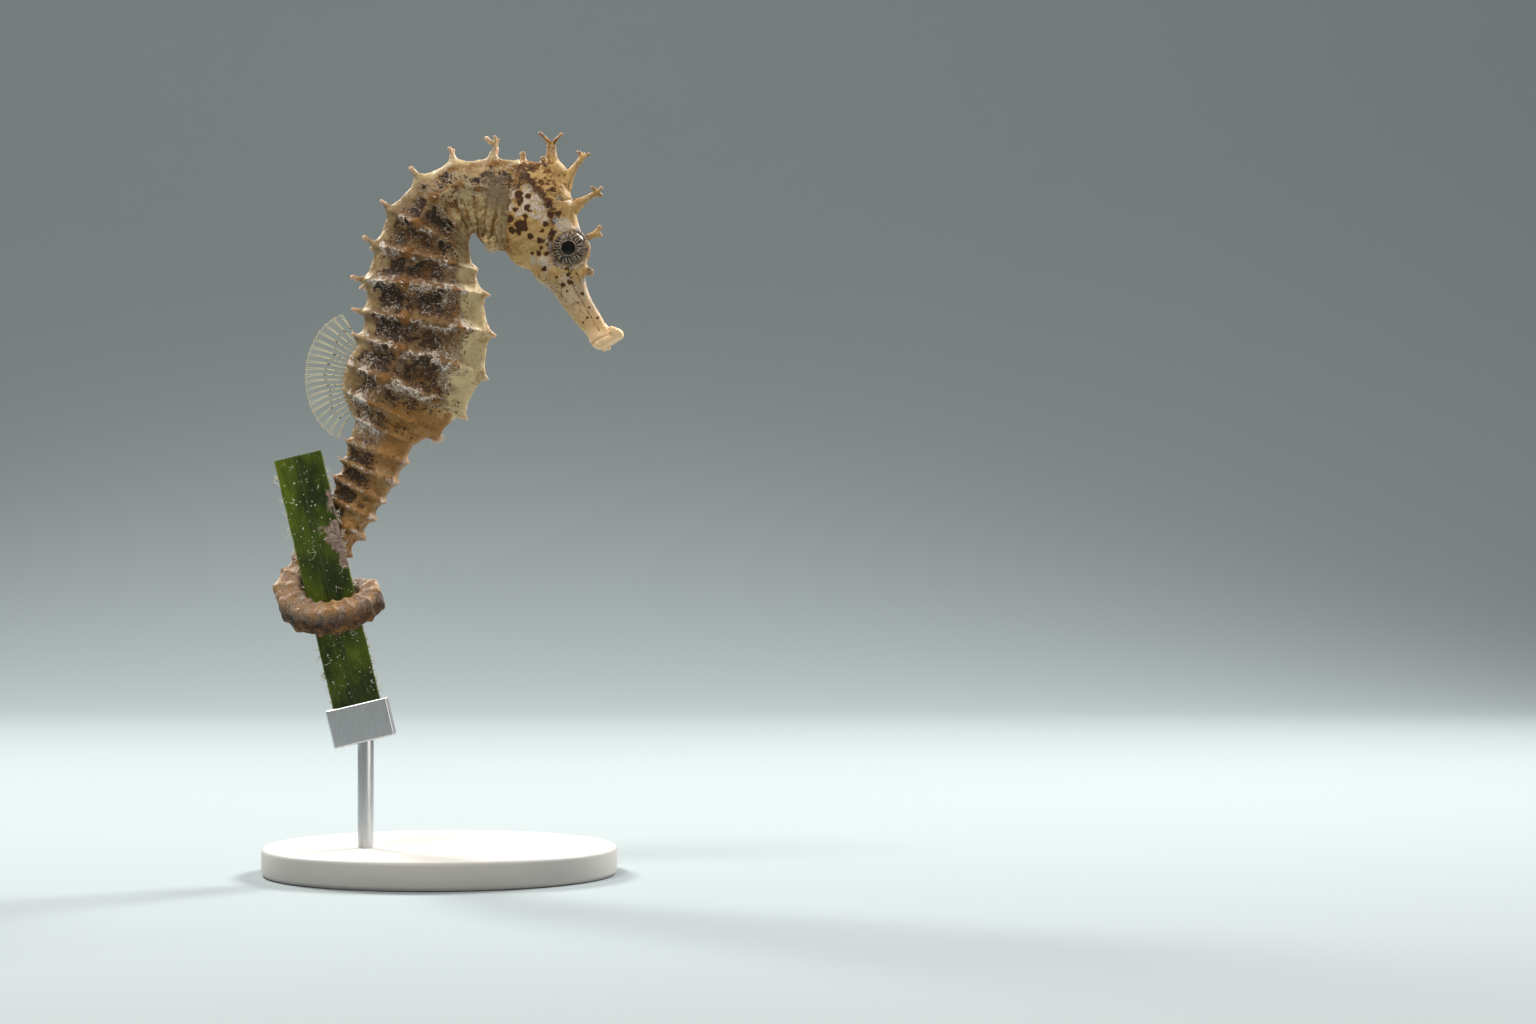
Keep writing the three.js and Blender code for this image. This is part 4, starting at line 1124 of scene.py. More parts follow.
class Graph:
    """Small helper that builds a node material; its colour is built up layer by layer."""

    def __init__(self, name):
        self.material = bpy.data.materials.new(name)
        self.material.use_nodes = True
        self.tree = self.material.node_tree
        self.shader = self.tree.nodes["Principled BSDF"]
        self.colour = None

    def feed(self, sockets, inputs):
        """Links or sets each input, given by name or number."""
        for key, value in inputs.items():
            socket = sockets[key]
            if isinstance(value, Value):
                self.tree.links.new(value.socket, socket)
            elif isinstance(value, tuple) and socket.type == "RGBA":
                socket.default_value = (*value, 1.0)
            else:
                socket.default_value = value

    def node(self, kind, output, inputs, **settings):
        made = self.tree.nodes.new("ShaderNode" + kind)
        for name, value in settings.items():
            setattr(made, name, value)
        self.feed(made.inputs, inputs)
        return Value(self, made.outputs[output])

    def attribute(self, name):
        return self.node("Attribute", "Fac", {}, attribute_name=name)

    def place(self):
        return self.node("TexCoord", "Object", {})

    def noise(self, size_mm, detail=3.0, roughness=0.55, vector=None):
        return self.node("TexNoise", "Fac", {
            "Scale": 1.0 / (size_mm * MM), "Detail": detail, "Roughness": roughness,
            "Vector": vector or self.place()})

    def math(self, operation, a, b=0.0):
        return self.node("Math", 0, {0: a, 1: b}, operation=operation)

    def step(self, value, low, high):
        """0 below low, 1 above high, smooth between."""
        return self.node("MapRange", "Result", {"Value": value, "From Min": low,
                         "From Max": high}, interpolation_type="SMOOTHSTEP")

    def mix(self, share, a, b):
        return self.node("Mix", 2, {"Factor": share, 6: a, 7: b}, data_type="RGBA")

    def layer(self, share, tone):
        """Lays a tone over the colour so far, as far as share says."""
        self.colour = self.mix(share, self.colour, tone)

    def bump(self, height, strength, distance_mm):
        normal = self.node("Bump", "Normal", {
            "Height": height, "Strength": strength, "Distance": distance_mm * MM})
        self.feed(self.shader.inputs, {"Normal": normal})

    def surface(self, roughness, **settings):
        """Finishes the shader; settings are its inputs, with _ for each space."""
        self.feed(self.shader.inputs, {"Base Color": self.colour, "Roughness": roughness})
        self.feed(self.shader.inputs,
                  {name.replace("_", " "): value for name, value in settings.items()})
        return self.material


OLIVE_TAN = (0.200, 0.130, 0.055)
LIGHT_TAN = (0.40, 0.295, 0.155)
FLANK_BROWN = (0.100, 0.048, 0.014)
FLANK_GREY = (0.235, 0.150, 0.072)
CHEEK = (0.63, 0.395, 0.148)
CHEEK_SHADE = (0.46, 0.275, 0.085)
CREAM = (0.58, 0.455, 0.250)
OCHRE = (0.27, 0.130, 0.030)
KNOB = (0.150, 0.062, 0.014)
BROWN = (0.066, 0.028, 0.008)
RUSTY = (0.220, 0.092, 0.018)
BLACKISH = (0.023, 0.013, 0.006)
LILAC = (0.39, 0.315, 0.245)
BLUISH = (0.50, 0.475, 0.445)
WHITE_FLECK = (0.80, 0.73, 0.66)
FACE_WHITE = (0.68, 0.57, 0.49)
SPOT_AND_GROOVE_BROWN = (0.048, 0.016, 0.003)
SPOT_AND_GROOVE_EDGE = (0.200, 0.085, 0.014)
MUZZLE = (0.62, 0.42, 0.20)
LIP = (0.82, 0.58, 0.34)
TIP = (0.66, 0.44, 0.30)
HEAD_TIP = (0.20, 0.125, 0.055)


def skin_material():
    g = Graph("seahorse_skin")
    broad, middling = g.noise(2.5, 3.0), g.noise(1.3, 4.0, 0.6)
    fine, tiny, grain = g.noise(0.8, 4.0, 0.65), g.noise(0.30, 3.0, 0.6), g.noise(0.14, 2.0)
    mask = g.attribute

    def broken(name, strength, *noises):
        """A mask from the mesh, broken up where it isn't nil by (noise, amount) pairs."""
        whole = mask(name)
        total = whole * strength
        present = g.step(whole, -0.08, 0.30)
        for noise, amount in noises:
            total = total + (noise - 0.5) * amount * present
        return total

    g.colour = g.mix(g.step(broad, 0.35, 0.65), OLIVE_TAN, LIGHT_TAN)
    g.layer(mask("face") * 0.8, g.mix(g.step(middling, 0.35, 0.65), CHEEK, CHEEK_SHADE))
    g.layer(mask("flank") * 0.95, g.mix(g.step(fine, 0.35, 0.65), FLANK_BROWN, FLANK_GREY))
    g.layer(mask("cream") * 0.9, CREAM)
    g.layer(g.step(broken("warm", 0.8, (fine, 1.6)), 0.05, 0.75), OCHRE)
    g.layer(g.step(middling, 0.50, 0.70) * 0.40, OCHRE)
    g.layer(g.step(middling, 0.45, 0.25) * 0.22, LILAC)
    brown = broken("brown", 0.9, (fine, 1.6), (tiny, 1.6))
    g.layer(g.step(brown, 0.22, 0.60), g.mix(g.step(fine, 0.43, 0.55), BROWN, RUSTY))
    dark = broken("dark", 0.90, (fine, 2.4), (tiny, 1.6))
    g.layer(g.step(dark, 0.20, 0.42), BROWN)
    g.layer(g.step(dark, 0.40, 0.72), BLACKISH)
    g.layer(broken("knob", 0.85, (fine, 0.8)) * 0.9, KNOB)
    # The pale mask also carries the painted glints on the knob tops.
    pale_and_glints = broken("pale", 0.85, (fine, 1.4), (tiny, 2.4))
    g.layer(g.step(pale_and_glints, 0.22, 0.58) * 0.78, LILAC)
    g.layer(g.step(pale_and_glints, 0.66, 1.0) * 0.85, g.mix(mask("face"), WHITE_FLECK, FACE_WHITE))
    flecks = tiny + (mask("dark") * 0.03 + mask("pale") * 0.07)
    g.layer(g.step(flecks, 0.70, 0.80), WHITE_FLECK)
    g.layer(g.step(grain * 0.6 + fine * 0.4, 0.53, 0.62) * 0.38, BROWN)
    g.layer(mask("bluish") * 0.85 * g.step(tiny, 0.72, 0.38), BLUISH)
    g.layer(mask("muzzle") * 0.85 * g.step(grain, 0.75, 0.45), MUZZLE)
    g.layer(mask("lips") * 0.85, LIP)
    tip_tone = g.mix(mask("face"), TIP, g.mix(g.step(tiny, 0.45, 0.62), HEAD_TIP, TIP))
    g.layer(g.step(mask("tip"), 0.45, 0.95) * 0.8, tip_tone)
    # The spots mask holds the real dark spots and the painted shade along the grooves.
    spots = broken("spots", 1.0, (tiny, 1.1), (fine, 0.5))
    g.layer(g.step(spots, 0.08, 0.55), SPOT_AND_GROOVE_EDGE)
    g.layer(g.step(spots, 0.35, 1.05), SPOT_AND_GROOVE_BROWN)
    g.bump(tiny + fine * 1.4 + grain * 0.5, 0.5, 0.12)
    return g.surface(g.step(fine, -0.5, 1.2), Subsurface_Weight=0.10, Subsurface_Scale=0.0010,
                     Subsurface_Radius=(1.0, 0.50, 0.25), Specular_IOR_Level=0.28)


def build_skin():
    mesh, points, fields = shaped_skin()
    for name, values in colour_masks(points, fields).items():
        add_field(mesh, name, values)
    skin = add_object("seahorse_skin", mesh)
    finish_piece(skin, "skin", (
        "head", "snout", "coronet", "neck", "chest", "trunk", "belly", "tail_base",
        "tail_bend", "tail_coil_left", "tail_coil_front", "tail_coil_right", "tail_tip",
    ), skin_material())


# ---- eyes
SPOKES = 24
INNER_RING = 1.34                   # radius of the pale ring round the pupil
IRIS_DARK = (0.014, 0.009, 0.006)
IRIS_STROKES = ((0.17, 0.125, 0.08), (0.42, 0.33, 0.23))
IRIS_RIM = ((0.055, 0.028, 0.012), (0.28, 0.20, 0.12))


def eye_material():
    g = Graph("eye_iris")
    mottle = g.noise(0.35, 3.0)
    strokes = g.mix(g.step(mottle, 0.4, 0.6), *IRIS_STROKES)
    g.colour = g.mix(g.attribute("spoke"), IRIS_DARK, strokes)
    g.layer(g.attribute("rim"), g.mix(g.step(mottle, 0.46, 0.58), *IRIS_RIM))
    return g.surface(0.5, Coat_Weight=0.10, Coat_Roughness=0.06, Specular_IOR_Level=0.25)


def pupil_material():
    g = Graph("eye_pupil")
    g.colour = (0.002, 0.002, 0.002)
    return g.surface(0.12, Specular_IOR_Level=0.4)


def eye_dome(side, reach, rows, columns, proud=0.0):
    """The eye's outer face out to reach, with each point's distance from its axis and angle."""
    far, turn = np.meshgrid(np.linspace(0.02, reach, rows), full_turn(columns), indexing="ij")
    depth = EYE_HALF_DEPTH * np.sqrt(np.maximum(0, 1 - (far / EYE_RADIUS) ** 2))
    grid = np.stack([EYE_CENTRE[0] + far * np.cos(turn),
                     side * (EYE_CENTRE[1] + proud + depth),
                     EYE_CENTRE[2] + far * np.sin(turn)], axis=-1)
    return grid, far, turn


def build_eye(side, node):
    rows, columns = ((90, 320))
    grid, far, turn = eye_dome(side, EYE_RADIUS - 0.004, rows, columns)

    def streaks(outward, round_about, size, seed):
        place = [far * outward, np.cos(turn) * round_about, np.sin(turn) * round_about]
        return lattice_noise(np.stack(place, axis=-1), size, seed)

    wobble, crumbs = streaks(1.3, 2, 0.8, 5), streaks(4, 9, 1.0, 6)
    wave = np.sin(turn * SPOKES + wobble * 2.6 + 0.9 * np.sin(far * 4 + turn * 3))
    spoke = ramp(-0.25, 0.55, wave + 0.75 * wobble + 0.75 * crumbs)
    spoke = spoke * ramp(1.36, 1.60, far) * (0.75 + 0.35 * crumbs)
    spoke = np.clip(np.maximum(spoke, 0.9 * bell(far - INNER_RING, 0.08)), 0, 1)
    rim = ramp(2.35, 2.85, far + 0.25 * crumbs) * 0.85
    grid[..., 1] += side * 0.03 * spoke * ramp(1.3, 1.6, far)
    iris = mesh_object("iris_" + node, skin_of_rows(grid, spoke=spoke, rim=rim))
    finish_piece(iris, "eye", [node], eye_material())
    grid, _, _ = eye_dome(side, PUPIL_RADIUS, 14, 96, proud=0.05)
    pupil = mesh_object("pupil_" + node, skin_of_rows(grid))
    finish_piece(pupil, "eye", [], pupil_material())


# ---- fins
RAY_STEPS = 26
WEB_STEPS = 8                       # columns of web from one ray to the next
FIN_DOTS = (0.07, 0.05, 0.012)
FIN_FEET = (0.34, 0.19, 0.045)


def fin_membrane_material(name, tone, alpha):
    g = Graph(name)
    g.colour = g.mix(g.noise(1.2), tone, tuple(min(1.0, c * 1.3) for c in tone))
    return g.surface(0.45, Specular_IOR_Level=0.3, Alpha=alpha)


def fin_ray_material(name, tone):
    g = Graph(name)
    dots = g.attribute("dots") + g.noise(0.5) * 0.3
    g.colour = g.mix(g.step(dots, 0.50, 0.85), tone, FIN_DOTS)
    g.layer(g.attribute("warm"), FIN_FEET)
    return g.surface(0.5, Subsurface_Weight=0.1, Subsurface_Scale=0.0005)


def fin_sheet(roots, ends, ripple, bow):
    """Middle of a fin's web: rows from root to edge, WEB_STEPS of them to each ray."""
    between = np.linspace(0, len(roots) - 1, (len(roots) - 1) * WEB_STEPS + 1)
    along = np.linspace(0, 1, RAY_STEPS)
    root_line, end_line = spline(roots, between), spline(ends, between)
    reach = 1 - 0.035 * (np.abs(between - np.round(between)) * 2)
    share = along * reach[:, None]
    sheet = root_line[:, None] + (end_line - root_line)[:, None] * share[..., None]
    sheet = sheet + bow * np.sin(along * math.pi)[:, None]
    sheet[..., 1] += ripple * np.sin(between * 1.7)[:, None] * along ** 1.5
    return sheet, between


def fin_ray(path, number, shift, thickness, dotted):
    """One of the two branches of a ray, which part towards the edge."""
    along = np.linspace(0, 1, RAY_STEPS)
    aside = unit(np.gradient(path, axis=0))[:, [2, 1, 0]] * np.array([1, 0, -1])
    branch = path + aside * shift * (along[:, None] ** 1.5) * 2.0
    knots = 1 + 0.18 * np.sin(along * 70)
    share = np.append(along, 1.0)[:, None]
    arc = 0.43 + 0.06 * math.sin(number * 0.9) + shift * 0.25 * math.sin(number * 5)
    inner = 0.27 + 0.03 * math.sin(number * 2.1)
    spots = bell(share - arc, 0.028 + 0.014 * (number % 2))
    return bent_tube(branch, thickness * (0.85 - 0.50 * along) * knots, sides=8,
                     dots=dotted * np.maximum(spots, 0.9 * bell(share - inner, 0.018)),
                     warm=ramp(0.22, 0.0, share))


def fan_fin(name, roots, ends, thickness, ripple, bow, node, materials, dotted=1.0):
    """A fin of rays from roots to ends with a thin web between them."""
    sheet, between = fin_sheet(roots, ends, ripple, bow)
    half = np.array([0, thickness / 2, 0])
    pieces = [skin_of_rows(np.concatenate([sheet - half, (sheet + half)[:, ::-1]], axis=1))]
    for number, path in enumerate(sheet[::WEB_STEPS]):
        for shift in (-0.10, 0.10):
            pieces.append(fin_ray(path, number, shift, thickness, dotted))
    if dotted:
        beads = thickness * (0.42 + 0.22 * np.sin(between * 11.0))
        pieces.append(bent_tube(sheet[:, -1], beads, sides=8))
        for number, path in enumerate(sheet[::WEB_STEPS]):
            radius = 0.25 + 0.04 * math.sin(number * 2.3)
            pieces.append(ball(path[1], radius, seed=number, lumps=0.2, warm=1.0))
    fin = mesh_object(name, joined(pieces))
    finish_piece(fin, "fin", [node], *materials)
    material_of = np.arange(len(fin.data.polygons)) >= len(pieces[0].faces)
    fin.data.polygons.foreach_set("material_index", material_of.astype(np.int32))


def fan_edge(middle, reach, angle):
    """Ends of the rays of a fin in the mid-plane."""
    return in_mid_plane(middle[0] + reach * np.cos(angle), middle[1] + reach * np.sin(angle))


DORSAL_RAYS = 19
DORSAL_RINGS = (8.15, 10.75)        # where its base starts and ends
DORSAL_MIDDLE = (-15.6, 86.9)
DORSAL_REACH = (8.0, 11.2)


def build_dorsal_fin():
    """Round fan on the back, with an oval edge."""
    centre, to_back, _, deep, _ = trunk_frames(np.linspace(*DORSAL_RINGS, DORSAL_RAYS))
    roots = centre + to_back * (deep - 0.35)[:, None]
    angle = np.radians(np.linspace(99, 258, DORSAL_RAYS))
    reach = 1 / np.hypot(np.cos(angle) / DORSAL_REACH[0], np.sin(angle) / DORSAL_REACH[1])
    ends = fan_edge(DORSAL_MIDDLE, reach, angle)
    materials = (fin_membrane_material("dorsal_membrane", (0.44, 0.46, 0.38), 0.14),
                 fin_ray_material("dorsal_rays", (0.66, 0.60, 0.36)))
    fan_fin("dorsal_fin_web", roots, ends, 0.10, 0.22, np.array([-0.25, 0.0, 0.35]),
            "dorsal_fin", materials)


PECTORAL_RAYS = 17
PECTORAL_ROOT = (12.3, 4.70, 119.3)
PECTORAL_MIDDLE = (12.4, 4.9, 119.3)
PECTORAL_REACH = 5.0
PECTORAL_FLARE = math.radians(14)


def build_pectoral_fin(side, node):
    angle = np.radians(np.linspace(142, 236, PECTORAL_RAYS))
    offset = np.linspace(2.0, -2.0, PECTORAL_RAYS)
    x, y, z = PECTORAL_ROOT
    roots = np.column_stack([
        x - 0.1 * np.abs(offset), np.full(PECTORAL_RAYS, y * side), z + offset])
    x, y, z = PECTORAL_MIDDLE
    ends = np.column_stack([
        x + PECTORAL_REACH * np.cos(angle) * math.cos(PECTORAL_FLARE),
        side * (y - PECTORAL_REACH * np.cos(angle) * math.sin(PECTORAL_FLARE)),
        z + 0.9 * PECTORAL_REACH * np.sin(angle)])
    materials = (fin_membrane_material("pectoral_membrane_" + node, (0.26, 0.18, 0.11), 0.14),
                 fin_ray_material("pectoral_rays_" + node, (0.22, 0.15, 0.09)))
    fan_fin("pectoral_web_" + node, roots, ends, 0.05, 0.06,
            np.array([0.0, 0.25 * side, 0.0]), node, materials, dotted=0.0)


ANAL_RAYS = 5
ANAL_MIDDLE = (-1.2, 77.6)
ANAL_REACH = 2.4


def build_anal_fin():
    angle = np.radians(np.linspace(-92, -30, ANAL_RAYS))
    roots = in_mid_plane(np.linspace(-1.7, -0.5, ANAL_RAYS), np.full(ANAL_RAYS, 76.9))
    ends = fan_edge(ANAL_MIDDLE, ANAL_REACH, angle)
    materials = (fin_membrane_material("anal_membrane", (0.60, 0.50, 0.36), 0.45),
                 fin_ray_material("anal_rays", (0.75, 0.64, 0.48)))
    fan_fin("anal_fin_web", roots, ends, 0.08, 0.03, np.zeros(3), "anal_fin", materials,
            dotted=0.0)


# ---- seagrass blade
BLADE_TOP = (-24.3, 73.1)
BLADE_BOTTOM = (-13.3, 26.9)
BLADE_LENGTH = math.hypot(BLADE_BOTTOM[0] - BLADE_TOP[0], BLADE_BOTTOM[1] - BLADE_TOP[1])
BLADE_Y = -4.8
BLADE_GRID = (260, 90)              # rows along it, columns across each face
BLADE_WIDTH = 8.5
BLADE_THICKNESS = 0.62
LEAF_GREENS = ((0.015, 0.026, 0.002), (0.070, 0.100, 0.004))
LEAF_LIGHT = (0.16, 0.21, 0.010)
LEAF_VEIN = (0.018, 0.035, 0.003)
LEAF_MIDRIB = ((0.014, 0.028, 0.003), (0.15, 0.17, 0.04))     # hollow, crest
LEAF_EDGE = (0.20, 0.25, 0.04)
LEAF_CRUST = ((0.17, 0.105, 0.085), (0.33, 0.24, 0.20))
LEAF_SPECKS = (0.60, 0.58, 0.45)


def blade_material():
    g = Graph("seagrass_leaf")
    across, along = g.attribute("across"), g.attribute("along")
    place = g.node("CombineXYZ", "Vector", {"X": across, "Y": along * 0.06, "Z": 0.0})
    streak = g.node("TexNoise", "Fac", {"Vector": place, "Scale": 4.0, "Detail": 4.0})
    vein_wave = g.math("SINE", across * 46.0)
    fine = g.noise(0.5, 4.0, 0.6)
    # The tone drops towards the blade's right edge (across > 0): painted shade on the right part
    # and painted light on the left.
    tone = g.noise(7.0, 4.0) * 0.7 + streak * 0.3 - across * 0.05
    g.colour = g.mix(g.step(tone, 0.36, 0.60), *LEAF_GREENS)
    g.layer(g.step(tone, 0.56, 0.72), LEAF_LIGHT)
    g.layer(g.step(vein_wave, 0.2, 1.0) * 0.18, LEAF_VEIN)
    from_midrib = g.math("ABSOLUTE", across + 0.05)
    g.layer(g.step(from_midrib, 0.20, 0.05) * 0.45, LEAF_MIDRIB[0])
    g.layer(g.step(from_midrib, 0.030, 0.010) * 0.28, LEAF_MIDRIB[1])
    g.layer(g.step(g.math("ABSOLUTE", across), 0.93, 0.99) * 0.6, LEAF_EDGE)
    crust = g.mix(g.step(fine, 0.40, 0.62), *LEAF_CRUST)
    g.layer(g.step(g.attribute("crust"), 0.42, 0.58), crust)
    g.layer(g.step(g.noise(0.42, 2.0) + g.noise(3.0) * 0.25, 0.80, 0.86), LEAF_SPECKS)
    g.bump(vein_wave * 0.25 + fine * 0.6, 0.4, 0.10)
    return g.surface(0.42, Specular_IOR_Level=0.28)


def epiphyte_material():
    g = Graph("epiphytes")
    g.colour = g.mix(g.noise(0.6), (0.48, 0.40, 0.28), (0.72, 0.69, 0.60))
    return g.surface(0.8)


def blade_point(along_mm, across_mm, out_mm):
    down = blade_axis()
    right = np.cross(down, [0.0, 1.0, 0.0])
    top = np.array([BLADE_TOP[0], BLADE_Y, BLADE_TOP[1]])
    return (top + np.multiply.outer(along_mm, down) + np.multiply.outer(across_mm, right)
            + np.multiply.outer(out_mm, [0.0, -1.0, 0.0]))


def build_blade():
    rows, columns = BLADE_GRID
    along = np.linspace(0, BLADE_LENGTH, rows)[:, None]
    edge = lattice_noise(along * [1, 0, 0], 1.6, 6)[:, None]
    half_width = BLADE_WIDTH / 2 - 0.05 + 0.06 * edge
    across = np.sin(np.linspace(-math.pi / 2, math.pi / 2, columns))
    profile = 0.30 + 0.70 * np.sqrt(np.maximum(0, 1 - across ** 2)) ** 0.5
    thick = BLADE_THICKNESS / 2 * profile + 0.12 * bell(across, 0.10)
    lean = 0.10 * np.sin(along * 0.2)
    place = np.tile(np.concatenate([across, across[::-1]]), (rows, 1))
    out = lean + np.concatenate([thick, -thick[::-1]])
    grid = blade_point(along + 0 * place, place * half_width, out)
    spread = 0.15 + 0.85 * bell(along - 15.5, 4.5)
    ragged = lattice_noise(grid, 1.5, 8) + 0.6 * lattice_noise(grid, 0.6, 9)
    crust = place - 1.05 + 0.75 * spread + 0.35 * ragged + 0.45
    crust = crust * (ramp(4, 7, along) * (1 - ramp(20, 24, along)))
    piece = skin_of_rows(grid, across=place, along=along, crust=np.clip(crust, 0, 1))
    blade = mesh_object("seagrass_leaf", piece)
    finish_piece(blade, "seagrass", ["seagrass_blade"], blade_material())


GRAINS, TUFTS, STARS = 110, 100, 34
HAIR_STEPS = 6


def hair(points, root_radius, tip_radius):
    path = curve_through(points, HAIR_STEPS)
    return bent_tube(path, np.linspace(root_radius, tip_radius, HAIR_STEPS), sides=6)


def grain_piece(number):
    """A crumb on either face of the blade."""
    along = RNG.uniform(0.5, BLADE_LENGTH - 4)
    across = RNG.uniform(-0.92, 0.92) * BLADE_WIDTH / 2
    face = 1 if RNG.random() < 0.6 else -1
    radius = 0.03 + 0.09 * RNG.random() ** 2
    place = blade_point(along, across, face * (BLADE_THICKNESS / 2 + radius * 0.2))
    return ball(place, radius, seed=number, lumps=0.4)


def edge_tuft():
    """A few short hairs that stand out from one edge of the blade."""
    along = RNG.uniform(0.5, BLADE_LENGTH - 4)
    side = 1 if RNG.random() < 0.5 else -1
    root = blade_point(along, side * (BLADE_WIDTH / 2 - 0.12), 0.0)
    hairs = []
    for _ in range(RNG.integers(2, 6)):
        size = 0.25 + 0.85 * RNG.random() ** 2
        turn = RNG.uniform(-1.3, 1.3)
        lift = RNG.uniform(-0.8, 0.8)
        middle = blade_point(along + turn * size * 0.4, side * (BLADE_WIDTH / 2 + size * 0.5),
                             lift * size * 0.5)
        end = blade_point(along + turn * size, side * (BLADE_WIDTH / 2 + size * 0.8),
                          lift * size)
        hairs.append(hair([root, middle, end], 0.055, 0.025))
    return hairs


def thread_star():
    """A little star of pale hairs that lies on one face of the blade."""
    along = RNG.uniform(1.5, BLADE_LENGTH - 4)
    across = RNG.uniform(-0.8, 0.8) * BLADE_WIDTH / 2
    face = 1 if RNG.random() < 0.7 else -1
    out = face * (BLADE_THICKNESS / 2 + 0.03)
    hairs = []
    for _ in range(RNG.integers(2, 5)):
        turn, size = RNG.uniform(0, 2 * math.pi), RNG.uniform(0.5, 1.5)
        bend = turn + RNG.uniform(-0.9, 0.9)
        middle = (along + 0.5 * size * math.cos(turn), across + 0.5 * size * math.sin(turn))
        end = (middle[0] + 0.5 * size * math.cos(bend), middle[1] + 0.5 * size * math.sin(bend))
        points = [blade_point(*place, out) for place in ((along, across), middle, end)]
        hairs.append(hair(points, 0.040, 0.02))
    return hairs


def build_epiphytes():
    """Pale growths: grains on both faces, tufts along the edges and stars of threads."""
    pieces = [grain_piece(number) for number in range(GRAINS)]
    for _ in range(TUFTS):
        pieces += edge_tuft()
    for _ in range(STARS):
        pieces += thread_star()
    growths = mesh_object("seagrass_growths", joined(pieces))
    finish_piece(growths, "seagrass", [], epiphyte_material())


# ---- stand
STAND_RADIUS = 31.0
STAND_THICKNESS = 5.0
ROD_RADIUS = 1.4
ROD_TOP = 25.2
CLIP_WIDTH, CLIP_DEPTH, CLIP_ABOVE, CLIP_BELOW = 10.8, 3.4, 3.2, 3.6


def metal_material():
    g = Graph("stand_steel")
    place = g.node("Mapping", "Vector", {"Vector": g.place(), "Scale": (1.0, 1.0, 0.04)})
    grain = g.noise(0.12, 3.0, 0.5, vector=place)
    g.colour = g.mix(g.step(grain, 0.3, 0.7), (0.50, 0.51, 0.52), (0.60, 0.61, 0.62))
    g.bump(grain, 0.08, 0.02)
    return g.surface(0.34, Metallic=1.0)


def paint_material():
    g = Graph("stand_paint")
    g.colour = g.mix(g.noise(4.0, 4.0), (0.44, 0.43, 0.41), (0.48, 0.47, 0.45))
    g.bump(g.noise(0.35, 3.0), 0.12, 0.05)
    return g.surface(0.55)


def turned_piece(name, x, y, radius, low, high, bevel, sides):
    """Upright round bar or disc at x, y with its two edges rounded."""
    turn = np.linspace(0, math.pi / 2, 6)
    inner = radius - bevel
    profile = [(radius * 0.5, low)]
    profile += [(inner + bevel * math.sin(t), low + bevel - bevel * math.cos(t)) for t in turn]
    profile += [(inner + bevel * math.cos(t), high - bevel + bevel * math.sin(t)) for t in turn]
    profile += [(radius * 0.5, high)]
    angle = full_turn(sides)
    grid = np.array([np.column_stack([x + far * np.cos(angle), y + far * np.sin(angle),
                                      np.full(sides, z)]) for far, z in profile])
    return mesh_object(name, skin_of_rows(grid))


def clip_block():
    """Flat block that holds the lower end of the blade."""
    corners = np.array([
        blade_point(along, across * CLIP_WIDTH / 2, out * CLIP_DEPTH / 2)
        for along in (BLADE_LENGTH - CLIP_ABOVE, BLADE_LENGTH + CLIP_BELOW)
        for across, out in ((-1, -1), (1, -1), (1, 1), (-1, 1))])
    faces = [(0, 1, 2, 3), (7, 6, 5, 4), (0, 4, 5, 1), (1, 5, 6, 2), (2, 6, 7, 3), (3, 7, 4, 0)]
    clip = mesh_object("stand_clip_block", Piece(corners, facing_out(corners, faces)))
    bevel = clip.modifiers.new("bevel", "BEVEL")
    bevel.width = 0.35 * MM
    bevel.segments = 4
    return clip


def build_stand():
    foot = blade_point(BLADE_LENGTH + CLIP_BELOW, 0.0, 0.0)
    base = turned_piece("stand_base_disc", 0, 0, STAND_RADIUS, 0.0, STAND_THICKNESS, 0.8, 192)
    rod = turned_piece("stand_rod_bar", foot[0], BLADE_Y, ROD_RADIUS,
                       STAND_THICKNESS - 2.1, ROD_TOP, 0.1, 48)
    paint, metal = paint_material(), metal_material()
    finish_piece(base, "stand_paint", ["stand_base"], paint)
    finish_piece(rod, "stand_metal", ["stand_rod"], metal)
    clip = clip_block()
    finish_piece(clip, "stand_metal", ["stand_clip"], metal)
    for thing, angle in ((base, 35), (rod, 35), (clip, 50)):
        thing.data.set_sharp_from_angle(angle=math.radians(angle))


# ---- studio
SWEEP_NEAR, SWEEP_FAR, SWEEP_SIDE, SWEEP_TOP = -2500.0, 500.0, 2500.0, 1500.0
SWEEP_BEND = 300.0
FLOOR_GAP = 0.02                    # how far the floor lies below the stand
PAPER = (0.245, 0.285, 0.30)


def paper_material():
    g = Graph("studio_paper")
    g.colour = g.mix(g.noise(60.0, 2.0), PAPER, tuple(c * 0.985 for c in PAPER))
    return g.surface(0.9)


def build_studio():
    """Pale floor that curves up into a wall behind the animal."""
    line = [(SWEEP_NEAR, 0.0), (SWEEP_FAR, 0.0)]
    for t in np.linspace(0, math.pi / 2, 24)[1:]:
        line.append((SWEEP_FAR + SWEEP_BEND * math.sin(t), SWEEP_BEND - SWEEP_BEND * math.cos(t)))
    line.append((SWEEP_FAR + SWEEP_BEND, SWEEP_TOP))
    points = [(x, y, z - FLOOR_GAP) for x in (-SWEEP_SIDE, SWEEP_SIDE) for y, z in line]
    count = len(line)
    faces = [(count + i, count + i + 1, i + 1, i) for i in range(count - 1)]
    floor = mesh_object("studio_sweep", Piece(points, faces))
    floor.data.shade_smooth()
    floor.data.materials.append(paper_material())


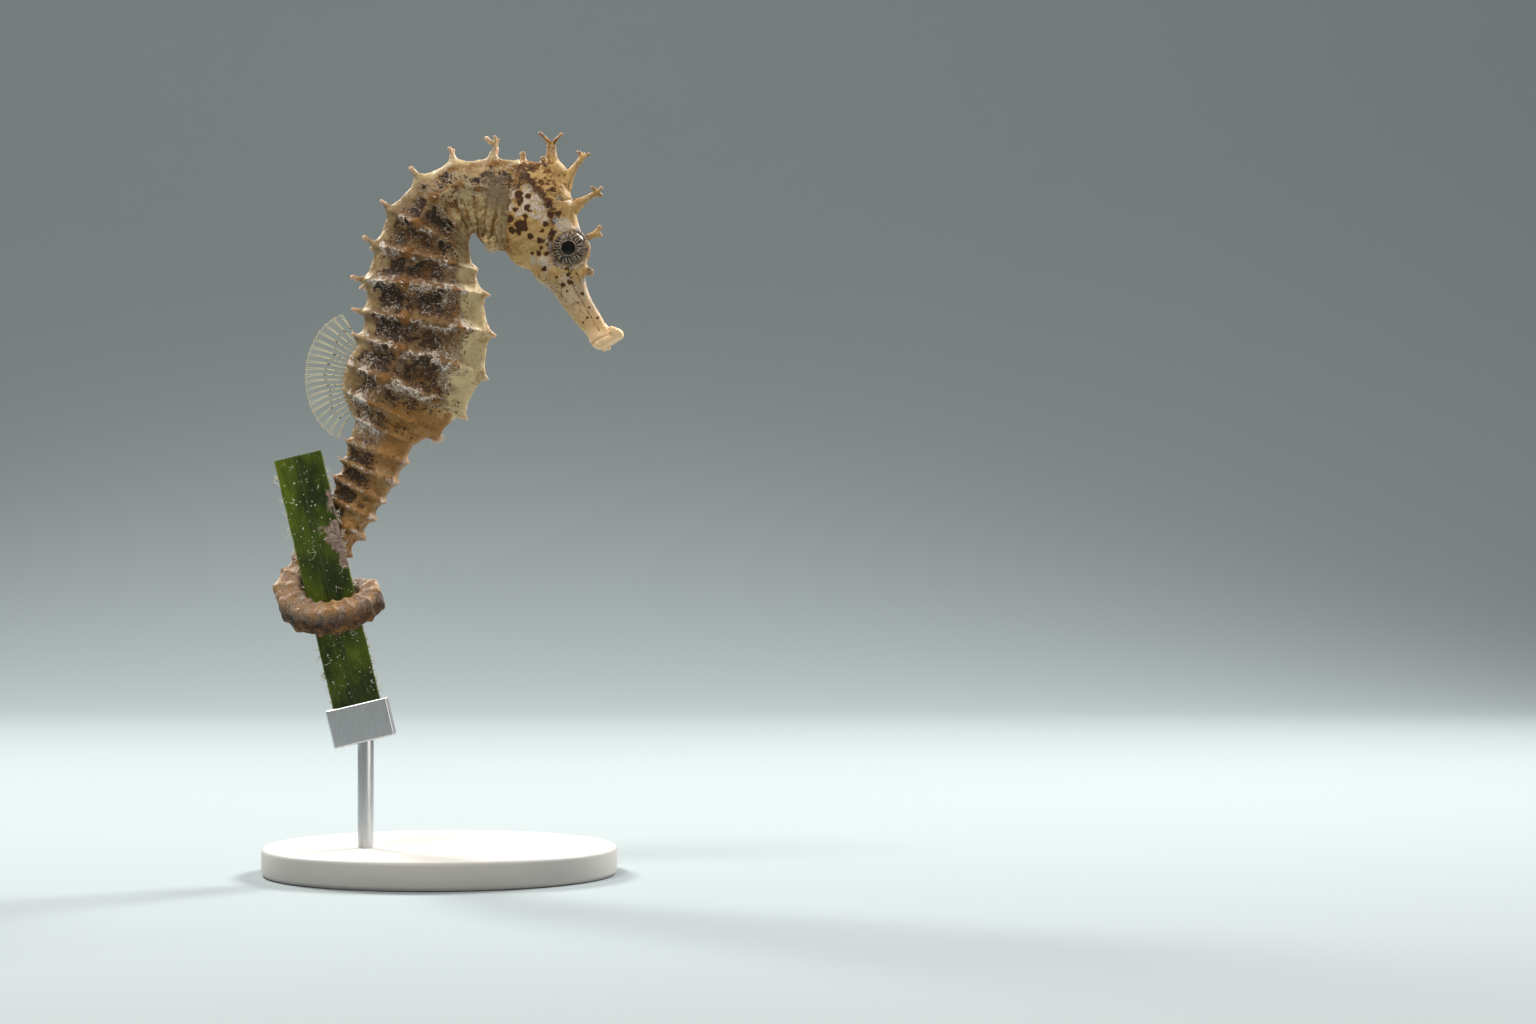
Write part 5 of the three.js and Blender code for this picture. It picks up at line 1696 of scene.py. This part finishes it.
# Lamps: name, place, size, power, colour, spread in degrees.
LAMPS = [
    ("key", (-330, -360, 1020), 300, 9.5, (1.0, 0.96, 0.90), 180),
    ("fill", (850, -600, 130), 700, 3.6, (1.0, 0.96, 0.89), 180),
    ("rim_left", (-420, 520, 560), 240, 4.4, (1.0, 0.98, 0.94), 120),
    ("rim_right", (420, 460, 520), 240, 4.8, (1.0, 0.98, 0.94), 120),
]
LAMP_TARGET = (-2, 0, 85)
WORLD_COLOUR = (1.0, 0.96, 0.90)
WORLD_STRENGTH = 0.22


def build_lights():
    for name, place, size, power, colour, spread in LAMPS:
        lamp = bpy.data.lights.new(name, "AREA")
        lamp.spread = math.radians(spread)
        lamp.size = size * MM
        lamp.energy = power
        lamp.color = colour
        thing = add_object(name, lamp)
        thing.location = Vector(place) * MM
        aim = Vector(LAMP_TARGET) * MM - thing.location
        thing.rotation_euler = aim.to_track_quat("-Z", "Y").to_euler()
    world = bpy.data.worlds.new("studio_world")
    world.use_nodes = True
    background = world.node_tree.nodes["Background"]
    background.inputs["Color"].default_value = (*WORLD_COLOUR, 1.0)
    background.inputs["Strength"].default_value = WORLD_STRENGTH
    bpy.context.scene.world = world


# The picture is 268.8 mm wide at the animal; its middle lies to the right of the animal.
PICTURE_WIDTH = 268.8
PICTURE_MIDDLE = (57.4, 63.3)
LENS = 85.0
SENSOR = 36.0


def build_camera():
    camera = bpy.data.cameras.new("camera")
    camera.lens = LENS
    camera.sensor_width = SENSOR
    camera.clip_end = 20.0
    distance = PICTURE_WIDTH * LENS / SENSOR
    thing = add_object("camera", camera)
    thing.location = Vector((PICTURE_MIDDLE[0], -distance, PICTURE_MIDDLE[1])) * MM
    thing.rotation_euler = (math.pi / 2, 0, 0)
    bpy.context.scene.camera = thing


def main():
    build_skin()
    build_eye(1, "eye_left")
    build_eye(-1, "eye_right")
    build_dorsal_fin()
    build_pectoral_fin(1, "pectoral_fin_left")
    build_pectoral_fin(-1, "pectoral_fin_right")
    build_anal_fin()
    build_blade()
    build_epiphytes()
    build_stand()
    build_studio()
    build_lights()
    build_camera()
    scene = bpy.context.scene
    scene.view_settings.view_transform = "Standard"


main()
